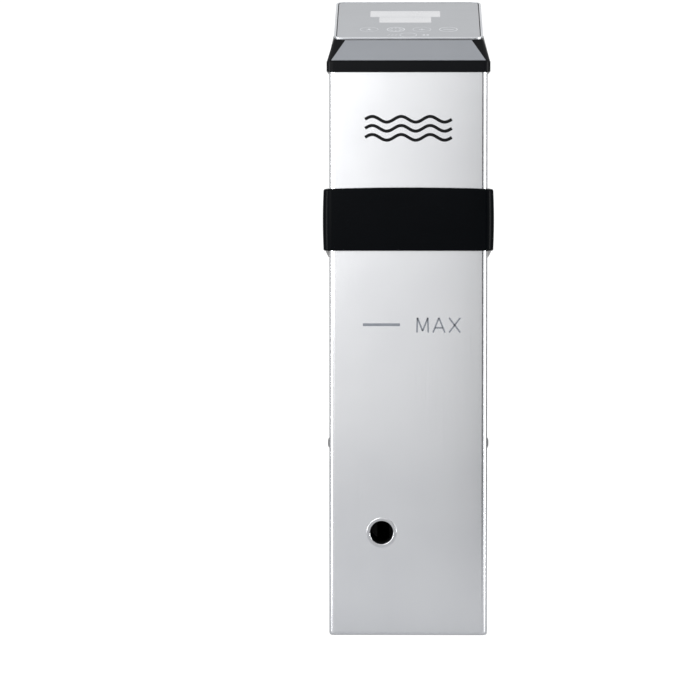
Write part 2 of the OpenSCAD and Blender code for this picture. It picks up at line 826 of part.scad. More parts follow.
module clamp_knob() {
    lobes = 6;
    color(black) translate([0, knob_y, screw_z]) rotate([-90, 0, 0]) difference() {
        union() {
            cylinder(r = 8, h = 3);
            translate([0, 0, 2]) cylinder(r = knob_r - 2, h = knob_len - 2);
            for (a = [0 : 360 / lobes : 359]) rotate(a) translate([knob_r - 4.5, 0, 2]) cylinder(r = 4.5, h = knob_len - 2);
        }
        translate([0, 0, -1]) cylinder(r = spindle_r + seat, h = 14.2);
        translate([0, 0, knob_len - 1.5]) cylinder(r = 8 + seat, h = 3);
    }
}

module knob_cap() {
    color([0.3, 0.31, 0.32]) translate([0, 0, screw_z]) lying(8, knob_y + knob_len - 1.5, knob_y + knob_len + 0.4);
}

head_housing();
front_facet();
panel_bezel();
touch_panel();
display_windows();
led_module();
control_board();
board_screws();
ribbon_cable();
upper_casing();
vent_grille();
cable_gland();
gland_nut();
collar();
clamp_bracket();
fixed_jaw_pad();
thread_insert();
bracket_screws();
bulkhead();
casing_gasket();
sleeve_seal();
shaft_seal();
motor_case();
lower_end_bell();
upper_end_bell();
stator_core();
stator_coils();
motor_bearings();
motor_screws();
power_board();
board_brackets();
power_components();
heat_sink();
support_rods();
rod_screws();
pump_plate();
pump_housing();
pump_cover();
pump_screws();
shaft_bush();
heater_tube();
heater_collars();
temperature_probe();
level_pins();
drive_shaft();
rotor_core();
impeller();
cooling_fan();
lower_sleeve();
base_cap();
outlet_ring();
side_bumpers();
pressure_pad();
pad_holder();
clamp_spindle();
clamp_knob();
knob_cap();
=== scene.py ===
import math

import bmesh
import bpy
from mathutils import Matrix, Vector


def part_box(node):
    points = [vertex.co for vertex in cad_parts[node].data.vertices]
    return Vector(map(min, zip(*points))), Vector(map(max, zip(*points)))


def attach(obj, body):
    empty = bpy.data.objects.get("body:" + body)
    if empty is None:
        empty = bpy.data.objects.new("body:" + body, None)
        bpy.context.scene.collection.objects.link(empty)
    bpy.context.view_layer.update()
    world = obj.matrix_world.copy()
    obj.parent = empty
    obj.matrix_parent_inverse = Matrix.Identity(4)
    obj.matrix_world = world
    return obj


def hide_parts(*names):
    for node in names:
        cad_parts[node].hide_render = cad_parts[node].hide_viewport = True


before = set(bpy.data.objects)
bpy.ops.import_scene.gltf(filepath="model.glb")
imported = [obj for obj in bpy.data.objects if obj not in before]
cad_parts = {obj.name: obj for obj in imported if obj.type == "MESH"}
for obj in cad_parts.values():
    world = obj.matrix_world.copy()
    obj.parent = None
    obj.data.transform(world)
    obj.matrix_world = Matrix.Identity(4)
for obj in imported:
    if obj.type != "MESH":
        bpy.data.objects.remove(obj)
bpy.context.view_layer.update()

# Shapes are drawn in millimetres and turned to metres when a piece is finished.
MM = 0.001


def node_box(name):
    """A CAD node's lowest and highest corners, in millimetres"""
    low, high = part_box(name)
    return Vector(low) / MM, Vector(high) / MM


# ------------------------------------------------------------------ sizes

sleeve_low, sleeve_high = node_box("lower_sleeve")
casing_low, casing_high = node_box("upper_casing")
collar_low, collar_high = node_box("collar")
head_low, head_high = node_box("head_housing")

COLUMN_W = sleeve_high.x - sleeve_low.x
FRONT_Y = sleeve_low.y
SLEEVE_D = sleeve_high.y - sleeve_low.y
CASING_D = casing_high.y - casing_low.y
CASING_MID = (casing_high.y + casing_low.y) / 2
REAR_Y = casing_high.y
COLUMN_R = 3.5              # outer corner radius of the bent sheet
SHEET = 1.0                 # its thickness
BASE_ROUND = 2.2

bracket_low, bracket_high = node_box("clamp_bracket")
bulkhead_top = node_box("bulkhead")[1].z
rim_low, rim_high = node_box("panel_bezel")
bumper_low, bumper_high = node_box("side_bumpers")

COLLAR_Z = collar_high.z - 37        # the collar's front underside
CHEEK_Z = collar_low.z      # its lowest edge, at the sides
COLLAR_TOP = collar_high.z
COLLAR_W = collar_high.x - collar_low.x
COLLAR_D = collar_high.y - collar_low.y
COLLAR_MID = (collar_high.y + collar_low.y) / 2
COLLAR_R = 5.5
FLOOR_Z = bracket_high.z
BRIDGE_Z = FLOOR_Z - 8
FLANGE_Z = bulkhead_top - 4
LEG_FOOT = bracket_low.z
TONGUE_Y = 40.4             # front of the clamp's fixed tongue, just behind the sleeve
TONGUE_BACK = 44.4

HEAD_Z = casing_high.z
LIP_TOP = HEAD_Z + 6.8
SKIRT_Z = HEAD_Z - 5        # foot of the skirt that plugs the casing
HEAD_W = head_high.x - head_low.x
HEAD_FRONT = head_low.y
HEAD_R = 4.0
BROW = 26.0                 # depth of the brow behind the front facet
SHOULDER = 3.0              # rise of the shoulders above the lip
SLOPE_RUN = 14.8
SLOPE_RISE = 12.7
PANEL_TILT = math.radians(16)
PANEL_RUN = 90.0
PANEL_W = rim_high.x - rim_low.x
PANEL_R = 5.5
PANEL_Y = HEAD_FRONT + SLOPE_RUN
PANEL_Z = LIP_TOP + SLOPE_RISE
TOP_LEN = PANEL_RUN / math.cos(PANEL_TILT)
PANEL_LEN = TOP_LEN - 2

SHAFT_X = 8.0
OUTLET = Vector((-16.0, FRONT_Y, 62.0))
OUTLET_R = 8.0
SCREW_Z = 212.0             # height of the clamp's screw
ROD_REACH = (38, 31)        # how far the four rods stand from the column's middle
BRACKET_HOLES = [(x, y) for x in (-22, 22) for y in (52, 70)]
HEATER_LEGS = (-26, -12)    # places across the column, both at the same depth
HEATER_LEG_Y = 31
HEATER_Z = 14               # height of the lowest of its three loops
HEATER_RISE = 11            # from one loop to the next
SHAFT_HOLE = 6.05
PUMP_R = 29.5
PUMP_ROOM_R = 27.0
PROBE_X, PROBE_Y = 36, -24
BUMPER_Z = (bumper_low.z + bumper_high.z) / 2
SLOTS_Z = 27                # middle of the slots low in the sleeve's sides
VENT_HOLE = ((-2, 285), (42, 319))    # lower left and upper right corners in the rear wall
GLAND_HOLE = (-26, 300)

# ------------------------------------------------------------------ shape kit


def rounded_outline(width, depth, radius, middle=0.0, arc=8, side_ys=(), front_xs=()):
    """Points round an upright block seen from above, starting at its front right corner"""
    radius = max(radius, 0.01)
    outline = []
    for sx, sy, start in ((1, -1, -90), (1, 1, 0), (-1, 1, 90), (-1, -1, 180)):
        for i in range(arc + 1):
            turn = math.radians(start + 90 * i / arc)
            x = sx * (width / 2 - radius) + radius * math.cos(turn)
            y = middle + sy * (depth / 2 - radius) + radius * math.sin(turn)
            outline.append(Vector((x, y, 0)))
        if (sx, sy) == (1, -1):
            outline += [Vector((width / 2, y, 0)) for y in side_ys]
        if (sx, sy) == (1, 1):
            outline += [Vector((x, middle + depth / 2, 0)) for x in reversed(front_xs)]
        if (sx, sy) == (-1, 1):
            outline += [Vector((-width / 2, y, 0)) for y in reversed(side_ys)]
    outline += [Vector((x, middle - depth / 2, 0)) for x in front_xs]
    return outline


def soften(path, setback, closed=True, steps=4):
    """Rounds the corners of a flat path; setback is one length, or one for each corner"""
    out = []
    last = len(path) - 1
    for i, point in enumerate(path):
        size = setback[i] if isinstance(setback, (list, tuple)) else setback
        if size <= 0 or (not closed and i in (0, last)):
            out.append(Vector(point))
            continue
        corner = Vector(point)
        before = Vector(path[i - 1]) - corner
        after = Vector(path[(i + 1) % len(path)]) - corner
        first = corner + before.normalized() * min(size, before.length * 0.49)
        second = corner + after.normalized() * min(size, after.length * 0.49)
        for k in range(steps + 1):
            t = k / steps
            out.append(first * (1 - t) ** 2 + corner * 2 * t * (1 - t) + second * t ** 2)
    return out


def skin(bm, rings, loop=False):
    """Faces between rings of points; the end rings are closed over, or joined when loop is set"""
    rows = [[bm.verts.new(point) for point in ring] for ring in rings]
    following = rows[1:] + rows[:1] if loop else rows[1:]
    for low, high in zip(rows, following):
        for i in range(len(low)):
            bm.faces.new((low[i - 1], low[i], high[i], high[i - 1]))
    if not loop:
        bm.faces.new(list(reversed(rows[0])))
        bm.faces.new(rows[-1])


def stepped_rings(width, depth, radius, section, middle, place):
    """A rounded rectangular ring of points for each (distance in from outside, height) of a section"""
    rings = []
    for inset, height in section:
        outline = rounded_outline(width - 2 * inset, depth - 2 * inset, radius - inset, middle)
        rings.append([place @ (point + Vector((0, 0, height))) for point in outline])
    return rings


def wall(bm, width, depth, radius, section, middle=0.0, place=Matrix()):
    """A rounded rectangular wall with a closed section"""
    skin(bm, stepped_rings(width, depth, radius, section, middle, place), loop=True)


def slab(bm, width, depth, radius, low, high, soft=0.3, middle=0.0, place=Matrix()):
    """A rounded rectangular plate with softened rims"""
    inner = min(width, depth) / 4
    section = soften([(inner, low), (0, low), (0, high), (inner, high)], soft, closed=False)
    skin(bm, stepped_rings(width, depth, radius, section, middle, place))


def turned(bm, profile, place=Matrix(), steps=48, loop=False):
    """Turns a path of (radius, height) points about its axis"""
    rings = []
    for radius, height in profile:
        turns = [math.tau * i / steps for i in range(steps)]
        rings.append([place @ Vector((radius * math.cos(turn), radius * math.sin(turn), height))
                      for turn in turns])
    skin(bm, rings, loop)


def pin(radius, low, high, first, second):
    """The path of a plain round pin, with its two rims set back by the lengths given"""
    return soften([(0, low), (radius, low), (radius, high), (0, high)], [0, first, second, 0], closed=False)


def turned_piece(profile, place, steps, loop, name, body, slot, finish, node):
    """A piece that is one path turned about its axis"""
    bm = bmesh.new()
    turned(bm, profile, place, steps, loop)
    piece(bm, name, body, slot, finish, node)


def prism(bm, outline, low, high, soft=0.3, place=Matrix()):
    """A flat outline made solid from low to high, with its edges rounded off"""
    part = bmesh.new()
    skin(part, [[Vector((p[0], p[1], z)) for p in outline] for z in (low, high)])
    bmesh.ops.recalc_face_normals(part, faces=part.faces)
    if soft:
        bmesh.ops.bevel(part, geom=part.edges[:], offset=soft, segments=2, profile=0.5, affect="EDGES")
    bmesh.ops.transform(part, matrix=place, verts=part.verts)
    pour(part, bm)


def block(bm, low, high, soft=0.3, place=Matrix()):
    """A box between two corners, with its edges rounded off"""
    outline = [(low[0], low[1]), (high[0], low[1]), (high[0], high[1]), (low[0], high[1])]
    prism(bm, outline, low[2], high[2], soft, place)


def closed_tube(bm, path, radius, sides):
    """A bar bent into a closed loop of points"""
    count = len(path)
    side = None
    rings = []
    for i, point in enumerate(path):
        heading = (path[(i + 1) % count] - path[i - 1]).normalized()
        if side is None:
            side = heading.orthogonal().normalized()
        side = (side - heading * side.dot(heading)).normalized()
        other = heading.cross(side)
        ring = []
        for k in range(sides):
            turn = math.tau * k / sides
            ring.append(point + side * radius * math.cos(turn) + other * radius * math.sin(turn))
        rings.append(ring)
    skin(bm, rings, loop=True)


def ribbon(bm, path, width, thickness, up):
    """A flat printed or raised stroke along a path; up is the outward direction of its surface"""
    path = [Vector(point) for point in path]
    rings = []
    for i, point in enumerate(path):
        heading = (path[min(i + 1, len(path) - 1)] - path[max(i - 1, 0)]).normalized()
        side = heading.cross(up).normalized() * width / 2
        top = up * thickness
        rings.append([point - side, point + side, point + side + top, point - side + top])
    skin(bm, rings)


def pour(part, bm):
    """Adds one shape to another"""
    mesh = bpy.data.meshes.new("poured")
    part.to_mesh(mesh)
    part.free()
    bm.from_mesh(mesh)
    bpy.data.meshes.remove(mesh)


def pointing(start, direction):
    """Stands a shape's own +Z along a direction, with its foot at start"""
    return Matrix.Translation(start) @ Vector(direction).to_track_quat("Z", "Y").to_matrix().to_4x4()


def as_object(bm, name):
    mesh = bpy.data.meshes.new(name)
    bm.to_mesh(mesh)
    bm.free()
    made = bpy.data.objects.new(name, mesh)
    bpy.context.scene.collection.objects.link(made)
    return made


def settled_mesh(made):
    """An object's mesh with its modifiers worked in"""
    bpy.context.view_layer.update()
    return bpy.data.meshes.new_from_object(made.evaluated_get(bpy.context.evaluated_depsgraph_get()))


def carve(bm, cutter, operation="DIFFERENCE"):
    """Takes the cutter's solid away from a solid, and gives back what is left"""
    for shape in (bm, cutter):
        bmesh.ops.remove_doubles(shape, verts=shape.verts, dist=1e-4)
        bmesh.ops.recalc_face_normals(shape, faces=shape.faces)
    solid = as_object(bm, "solid")
    tool = as_object(cutter, "tool")
    boolean = solid.modifiers.new("carve", "BOOLEAN")
    boolean.object = tool
    boolean.operation = operation
    boolean.solver = "EXACT"
    boolean.use_self = True
    mesh = settled_mesh(solid)
    left = bmesh.new()
    left.from_mesh(mesh)
    for scrap in (solid, tool):
        bpy.data.objects.remove(scrap)
    return left


def add(tree, kind, inputs=None, **settings):
    """Adds a node, sets its options, and fills its inputs with values or with other nodes' outputs"""
    made = tree.nodes.new(kind)
    for key, value in settings.items():
        setattr(made, key, value)
    for key, value in (inputs or {}).items():
        if isinstance(value, bpy.types.NodeSocket):
            tree.links.new(value, made.inputs[key])
        else:
            made.inputs[key].default_value = value
    return made


def piece(shape, name, body, slot, finish, *stands_for, angle=35):
    """Finishes a shape: merged, facing outwards, in metres, and riding on its body"""
    if isinstance(shape, bpy.types.Mesh):
        mesh = shape
        shape = bmesh.new()
        shape.from_mesh(mesh)
    bmesh.ops.remove_doubles(shape, verts=shape.verts, dist=1e-4)
    bmesh.ops.recalc_face_normals(shape, faces=shape.faces)
    bmesh.ops.scale(shape, vec=(MM, MM, MM), verts=shape.verts)
    made = as_object(shape, name)
    made.data.shade_smooth()
    made.data.set_sharp_from_angle(angle=math.radians(angle))
    even = made.modifiers.new("even_shading", "WEIGHTED_NORMAL")
    even.keep_sharp = True
    mesh = settled_mesh(made)
    made.modifiers.clear()
    made.data = mesh
    made.data.materials.clear()
    made.data.materials.append(finish)
    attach(made, body)
    if stands_for:
        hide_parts(*stands_for)
    return made


# ------------------------------------------------------------------ repeats, as node trees


def new_tree(name, sizes):
    """An empty Geometry Nodes tree with named inputs; whole numbers make whole-number inputs"""
    tree = bpy.data.node_groups.new(name, "GeometryNodeTree")
    tree.interface.new_socket("Geometry", in_out="OUTPUT", socket_type="NodeSocketGeometry")
    for label, value in sizes.items():
        kind = "NodeSocketFloat"
        if isinstance(value, int):
            kind = "NodeSocketInt"
        if isinstance(value, tuple):
            kind = "NodeSocketVector"
        socket = tree.interface.new_socket(label, in_out="INPUT", socket_type=kind)
        socket.default_value = value
    tree.interface.new_socket("Material", in_out="INPUT", socket_type="NodeSocketMaterial")
    return tree, add(tree, "NodeGroupInput").outputs


def close_tree(tree, given, geometry):
    """Ends a tree in Realize Instances and Set Material"""
    real = add(tree, "GeometryNodeRealizeInstances", {"Geometry": geometry})
    coated = add(tree, "GeometryNodeSetMaterial", {"Geometry": real.outputs[0],
                                                   "Material": given["Material"]})
    add(tree, "NodeGroupOutput", {"Geometry": coated.outputs[0]})
    return tree


def grown(tree, finish, **sizes):
    """Runs a tree with the sizes given, and gives back the mesh that it makes"""
    carrier = as_object(bmesh.new(), tree.name)
    grow = carrier.modifiers.new(tree.name, "NODES")
    grow.node_group = tree
    for item in tree.interface.items_tree:
        if item.in_out == "INPUT" and item.name in sizes:
            grow[item.identifier] = sizes[item.name]
        if item.name == "Material":
            grow[item.identifier] = finish
    mesh = settled_mesh(carrier)
    bpy.data.objects.remove(carrier)
    return mesh


def at_points(mesh, places):
    """Copies a small mesh to each place, as one shape"""
    bm = bmesh.new()
    for place in places:
        part = bmesh.new()
        part.from_mesh(mesh)
        bmesh.ops.transform(part, matrix=place, verts=part.verts)
        pour(part, bm)
    return bm


def slot_row_tree():
    """A row of round-ended slots standing along +Z, spaced along +X and long along +Y"""
    tree, given = new_tree("slot_row", {"Count": 7, "Pitch": 9.0, "Width": 3.4, "Length": 28.0, "Depth": 6.0})
    straight = add(tree, "ShaderNodeMath", {0: given["Length"], 1: given["Width"]},
                   operation="SUBTRACT").outputs[0]
    radius, half, minus_half = [
        add(tree, "ShaderNodeMath", {0: size, 1: share}, operation="MULTIPLY").outputs[0]
        for size, share in ((given["Width"], 0.5), (straight, 0.5), (straight, -0.5))]
    size = add(tree, "ShaderNodeCombineXYZ", {0: given["Width"], 1: straight, 2: given["Depth"]})
    middle = add(tree, "GeometryNodeMeshCube", {"Size": size.outputs[0]}).outputs[0]
    end = add(tree, "GeometryNodeMeshCylinder", {"Vertices": 24, "Radius": radius, "Depth": given["Depth"]})
    solids = [middle]
    for reach in (half, minus_half):
        spot = add(tree, "ShaderNodeCombineXYZ", {1: reach}).outputs[0]
        moved = add(tree, "GeometryNodeTransform", {"Geometry": end.outputs[0], "Translation": spot})
        solids.append(moved.outputs[0])
    one = add(tree, "GeometryNodeMeshBoolean", operation="UNION", solver="EXACT")
    for solid in solids:
        tree.links.new(solid, one.inputs["Mesh 2"])
    step = add(tree, "ShaderNodeCombineXYZ", {0: given["Pitch"]}).outputs[0]
    line = add(tree, "GeometryNodeMeshLine", {"Count": given["Count"], "Offset": step})
    placed = add(tree, "GeometryNodeInstanceOnPoints", {"Points": line.outputs[0],
                                                        "Instance": one.outputs[0]})
    return close_tree(tree, given, placed.outputs[0])


def screw_tree():
    """A pan-head screw with a cross recess, head down at the origin and shank up"""
    sizes = {"Head radius": 3.0, "Head height": 2.2, "Shank radius": 1.5, "Shank length": 6.0}
    tree, given = new_tree("cross_screw", sizes)
    shares = (("Head radius", 0.72), ("Head height", 0.45), ("Head radius", 1.1), ("Head radius", 0.24))
    low_radius, crown, arm, thin = [
        add(tree, "ShaderNodeMath", {0: given[size], 1: share}, operation="MULTIPLY").outputs[0]
        for size, share in shares]
    rim = add(tree, "ShaderNodeMath", {0: given["Head height"], 1: crown}, operation="SUBTRACT").outputs[0]
    dome = add(tree, "GeometryNodeMeshCone", {"Vertices": 24, "Radius Top": given["Head radius"],
                                              "Radius Bottom": low_radius, "Depth": crown})
    band = add(tree, "GeometryNodeMeshCone", {"Vertices": 24, "Radius Top": given["Head radius"],
                                              "Radius Bottom": given["Head radius"], "Depth": rim})
    shank = add(tree, "GeometryNodeMeshCone", {"Vertices": 20, "Radius Top": given["Shank radius"],
                                               "Radius Bottom": given["Shank radius"],
                                               "Depth": given["Shank length"]})
    parts = [dome.outputs[0]]
    for shape, lift in ((band, crown), (shank, given["Head height"])):
        spot = add(tree, "ShaderNodeCombineXYZ", {2: lift}).outputs[0]
        moved = add(tree, "GeometryNodeTransform", {"Geometry": shape.outputs[0], "Translation": spot})
        parts.append(moved.outputs[0])
    solid = add(tree, "GeometryNodeMeshBoolean", operation="UNION", solver="EXACT")
    for part in parts:
        tree.links.new(part, solid.inputs["Mesh 2"])
    recess = add(tree, "GeometryNodeMeshBoolean", {"Mesh 1": solid.outputs[0]}, operation="DIFFERENCE",
                 solver="EXACT")
    for along_x, along_y in ((arm, thin), (thin, arm)):
        size = add(tree, "ShaderNodeCombineXYZ", {0: along_x, 1: along_y, 2: given["Head height"]}).outputs[0]
        bar = add(tree, "GeometryNodeMeshCube", {"Size": size}).outputs[0]
        tree.links.new(bar, recess.inputs["Mesh 2"])
    return close_tree(tree, given, recess.outputs[0])


def thread_tree():
    """A screw thread's ridge, wound up +Z round a spindle"""
    sizes = {"Pitch": 2.0, "Length": 40.0, "Radius": 3.6, "Ridge": 0.55}
    tree, given = new_tree("thread_ridge", sizes)
    turns = add(tree, "ShaderNodeMath", {0: given["Length"], 1: given["Pitch"]},
                operation="DIVIDE").outputs[0]
    spiral = add(tree, "GeometryNodeCurveSpiral", {"Resolution": 20, "Rotations": turns,
                                                   "Start Radius": given["Radius"],
                                                   "End Radius": given["Radius"], "Height": given["Length"]})
    edge = add(tree, "GeometryNodeCurvePrimitiveCircle", {"Resolution": 4, "Radius": given["Ridge"]})
    ridge = add(tree, "GeometryNodeCurveToMesh", {"Curve": spiral.outputs[0],
                                                  "Profile Curve": edge.outputs[0], "Fill Caps": True})
    return close_tree(tree, given, ridge.outputs[0])


def bar_row_tree():
    """A row of equal bars, such as louvres, ribs or fins, with a tilt about +X"""
    sizes = {"Count": 7, "Step": (0.0, 0.0, 4.0), "Bar": (41.0, 3.2, 1.2), "Tilt": 0.0}
    tree, given = new_tree("bar_row", sizes)
    bar = add(tree, "GeometryNodeMeshCube", {"Size": given["Bar"]}).outputs[0]
    lean = add(tree, "ShaderNodeCombineXYZ", {0: given["Tilt"]}).outputs[0]
    leaning = add(tree, "GeometryNodeTransform", {"Geometry": bar, "Rotation": lean}).outputs[0]
    line = add(tree, "GeometryNodeMeshLine", {"Count": given["Count"], "Offset": given["Step"]})
    placed = add(tree, "GeometryNodeInstanceOnPoints", {"Points": line.outputs[0], "Instance": leaning})
    return close_tree(tree, given, placed.outputs[0])


SLOTS = slot_row_tree()
SCREW = screw_tree()
THREAD = thread_tree()
BARS = bar_row_tree()

# ------------------------------------------------------------------ finishes


def linear(hex_colour):
    """An sRGB hex colour as linear red, green, blue and alpha"""
    channels = [int(hex_colour[i:i + 2], 16) / 255 for i in (1, 3, 5)]
    return [c / 12.92 if c <= 0.04045 else ((c + 0.055) / 1.055) ** 2.4 for c in channels] + [1.0]


def per_mm(size):
    """The texture scale that makes one feature this many millimetres across"""
    return 1 / (size * MM)


def surface(name, colour, second, fine, broad=45.0, rough=(0.35, 0.5), bump=0.01, mottle=1.0, bands=None,
            **sockets):
    """A finish whose fine grain moves its height and gloss and whose broad clouds move its colour

    fine is the grain's size along x, y and z in millimetres, bump its height in millimetres, and
    bands, where given, adds regular ridges: (direction, spacing in mm, height in mm).
    """
    made = bpy.data.materials.new(name)
    made.use_nodes = True
    tree = made.node_tree
    tree.nodes.clear()
    place = add(tree, "ShaderNodeTexCoord").outputs["Object"]
    spread = add(tree, "ShaderNodeMapping", {"Vector": place, "Scale": [per_mm(size) for size in fine]})
    grain = add(tree, "ShaderNodeTexNoise", {"Vector": spread.outputs[0], "Scale": 1.0, "Detail": 3.0,
                                             "Roughness": 0.6}).outputs["Fac"]
    cloud = add(tree, "ShaderNodeTexNoise", {"Vector": place, "Scale": per_mm(broad), "Detail": 4.0,
                                             "Roughness": 0.55}).outputs["Fac"]
    patch = add(tree, "ShaderNodeMapRange", {"Value": cloud, "From Min": 0.5 - 0.25 / mottle,
                                             "From Max": 0.5 + 0.25 / mottle}).outputs[0]
    tint = add(tree, "ShaderNodeMix", {0: patch, 6: linear(colour), 7: linear(second)}, data_type="RGBA")
    mixed = add(tree, "ShaderNodeMix", {0: 0.4, 2: grain, 3: cloud}, data_type="FLOAT").outputs[0]
    gloss = add(tree, "ShaderNodeMapRange", {"Value": mixed, "From Min": 0.3, "From Max": 0.7,
                                             "To Min": rough[0], "To Max": rough[1]}).outputs[0]
    relief = add(tree, "ShaderNodeBump", {"Height": grain, "Distance": bump * MM, "Strength": 1.0}).outputs[0]
    if bands:
        direction, spacing, height = bands
        ridges = add(tree, "ShaderNodeTexWave", {"Vector": place, "Scale": per_mm(spacing) * math.pi / 10,
                                                 "Distortion": 0.0},
                     wave_type="BANDS", bands_direction=direction, wave_profile="SIN")
        relief = add(tree, "ShaderNodeBump", {"Height": ridges.outputs["Fac"], "Distance": height * MM,
                                              "Strength": 1.0, "Normal": relief}).outputs[0]
    shader = add(tree, "ShaderNodeBsdfPrincipled", {"Base Color": tint.outputs[2], "Roughness": gloss,
                                                    "Normal": relief})
    for socket, value in sockets.items():
        shader.inputs[socket.replace("_", " ")].default_value = value
    add(tree, "ShaderNodeOutputMaterial", {"Surface": shader.outputs[0]})
    return made


# Stainless sheet brushed upright: hair-fine lines that pull highlights sideways, faint handling clouds.
BRUSHED_SHEET = surface("brushed_stainless_sheet", "#D3D4D7", "#DBDCDE", (0.35, 0.35, 60), 70,
                        (0.21, 0.27), 0.0006, Metallic=1.0)
# Stainless rod and plate as rolled: brighter, finer and less even than the outer sheet.
BRIGHT_ROD = surface("bright_drawn_stainless", "#B9BABC", "#A9AAAD", (0.3, 0.3, 12), 18, (0.16, 0.34),
                     0.002, Metallic=1.0)
# Polished stainless ring: nearly a mirror, with faint polishing haze.
POLISHED = surface("polished_stainless", "#D8D9DB", "#CBCCCE", (0.8, 0.8, 0.8), 12, (0.06, 0.14), 0.0006,
                   Metallic=1.0)
# Satin anodised aluminium rim: soft even sheen with a very fine etched tooth.
SATIN_RIM = surface("satin_anodised_aluminium", "#C6C8CB", "#BBBDC1", (0.25, 0.25, 0.25), 30, (0.3, 0.42),
                    0.0015, Metallic=1.0)
# Head and lip: ABS moulded against a fine spark-eroded tool, which gives a tight, low-sheen tooth.
HEAD_ABS = surface("moulded_black_abs", "#060709", "#090A0C", (0.45, 0.45, 0.45), 40, (0.3, 0.42), 0.004,
                   Specular_IOR_Level=0.055)
# Collar: glass-filled nylon, a shade deeper and more even, with soft streaks from the moulding.
COLLAR_NYLON = surface("glass_filled_black_nylon", "#030405", "#050608", (0.5, 0.5, 0.5), 55, (0.22, 0.3),
                       0.003, Specular_IOR_Level=0.024)
# Clamp parts: the same nylon from a coarser tool, rubbed shinier where hands hold it.
CLAMP_NYLON = surface("textured_black_nylon", "#0C0D0F", "#131417", (0.7, 0.7, 0.7), 14, (0.36, 0.6),
                      0.02, 1.4, Specular_IOR_Level=0.35)
# Facet: silver grey lacquer over plastic; even, with metal flake too fine to see as more than a soft sheen.
FACET_LACQUER = surface("silver_grey_lacquer", "#7C7F84", "#83868B", (0.3, 0.3, 0.3), 50, (0.36, 0.44),
                        0.0015, Metallic=0.35)
# Touch cover: back-printed silver film under a clear hard coat; fine brushed print, smooth to the touch.
TOUCH_COVER = surface("silver_printed_touch_film", "#82858A", "#8C8F94", (22, 0.3, 0.3), 60, (0.34, 0.46),
                      0.0006, Metallic=0.3, Coat_Weight=0.35, Coat_Roughness=0.12)
# Display: pale diffusing acrylic over a light box.
DISPLAY_ACRYLIC = surface("diffusing_display_acrylic", "#B6B7BA", "#B1B2B5", (0.5, 0.5, 0.5), 20,
                          (0.2, 0.3), 0.0004, Coat_Weight=0.3, Coat_Roughness=0.08)
# Light print for the touch marks: slightly chalky screen ink.
LIGHT_INK = surface("white_screen_ink", "#C3C5C8", "#B6B8BC", (0.2, 0.2, 0.2), 5, (0.5, 0.65), 0.001)
# Dark print on the steel: screen ink with a slightly toothy surface.
DARK_INK = surface("black_screen_ink", "#060708", "#090A0B", (0.2, 0.2, 0.2), 6, (0.45, 0.6), 0.001,
                   Specular_IOR_Level=0.1)
# Etched level mark: the brushed grain is eaten away, so it is greyer and matter.
ETCHED_MARK = surface("etched_stainless", "#777B81", "#6E7278", (0.2, 0.2, 0.2), 4, (0.55, 0.7), 0.003,
                      Metallic=0.6)
# Pads and bumpers: silicone rubber, soft and dusty black.
BLACK_RUBBER = surface("black_silicone_rubber", "#131416", "#1C1D20", (0.6, 0.6, 0.6), 9, (0.6, 0.8),
                       0.012, Specular_IOR_Level=0.3)
# Gaskets: brick red silicone, a little waxy.
RED_SILICONE = surface("red_silicone_seal", "#8C3A2E", "#7C3228", (0.8, 0.8, 0.8), 10, (0.45, 0.6), 0.006,
                       Subsurface_Weight=0.05)
# Turned brass: fine lathe rings and a slightly tarnished tone.
TURNED_BRASS = surface("turned_brass", "#B8934A", "#9E7C3C", (0.5, 0.5, 0.5), 5, (0.2, 0.36), 0.002,
                       bands=("Z", 0.4, 0.004), Metallic=1.0)
# Bulkhead: heat-resisting phenolic, dark grey with a faint glass-fibre mottle.
PHENOLIC = surface("heat_resisting_phenolic", "#2B2C2E", "#37383A", (0.9, 0.9, 2.5), 7, (0.5, 0.68),
                   0.012, 1.6)
# Motor can and laminations: zinc-plated steel with a cool bloom; the lamination edges show as fine bands.
ZINC_STEEL = surface("zinc_plated_steel", "#9DA1A6", "#8B8F92", (1.2, 1.2, 1.2), 14, (0.28, 0.48), 0.003,
                     1.6, Metallic=1.0)
LAMINATED_STEEL = surface("laminated_core_steel", "#6E7174", "#5E6063", (0.4, 0.4, 0.4), 8, (0.4, 0.6),
                          0.004, bands=("Z", 1.0, 0.05), Metallic=1.0)
# End bells: die-cast aluminium, slightly orange-peeled and chalky.
CAST_ALUMINIUM = surface("die_cast_aluminium", "#A4A6A8", "#94979A", (1.4, 1.4, 1.4), 12, (0.42, 0.62),
                         0.03, Metallic=0.9)
# Windings: enamelled copper wire, glossy varnish over fine strands.
COPPER_WINDING = surface("enamelled_copper_winding", "#A8592C", "#8A4622", (0.6, 0.6, 0.6), 5,
                         (0.22, 0.36), 0.01, bands=("Z", 0.7, 0.12), Metallic=0.8, Coat_Weight=0.5)
# Circuit board: green solder lacquer over copper tracks that show as faint lighter lines.
SOLDER_LACQUER = surface("green_solder_lacquer", "#155C34", "#0F4A29", (2.4, 2.4, 2.4), 3, (0.24, 0.4),
                         0.02, 2.5, bands=("X", 2.5, 0.03), Coat_Weight=0.4)
# Component cases: moulded epoxy with a fine matte tooth.
EPOXY_CASES = surface("moulded_epoxy_cases", "#23262F", "#2F3340", (0.5, 0.5, 0.5), 9, (0.4, 0.6), 0.006)
# Light box: white moulded plastic, faintly see-through.
WHITE_MOULDING = surface("white_moulded_plastic", "#E6E6E2", "#DADAD5", (0.6, 0.6, 0.6), 20, (0.45, 0.6),
                         0.006)
# Flat cable: grey PVC with one groove for each wire.
RIBBON_PVC = surface("grey_ribbon_pvc", "#A5A49E", "#97968F", (0.6, 0.6, 3), 12, (0.4, 0.55), 0.004,
                     bands=("X", 1.27, 0.25))
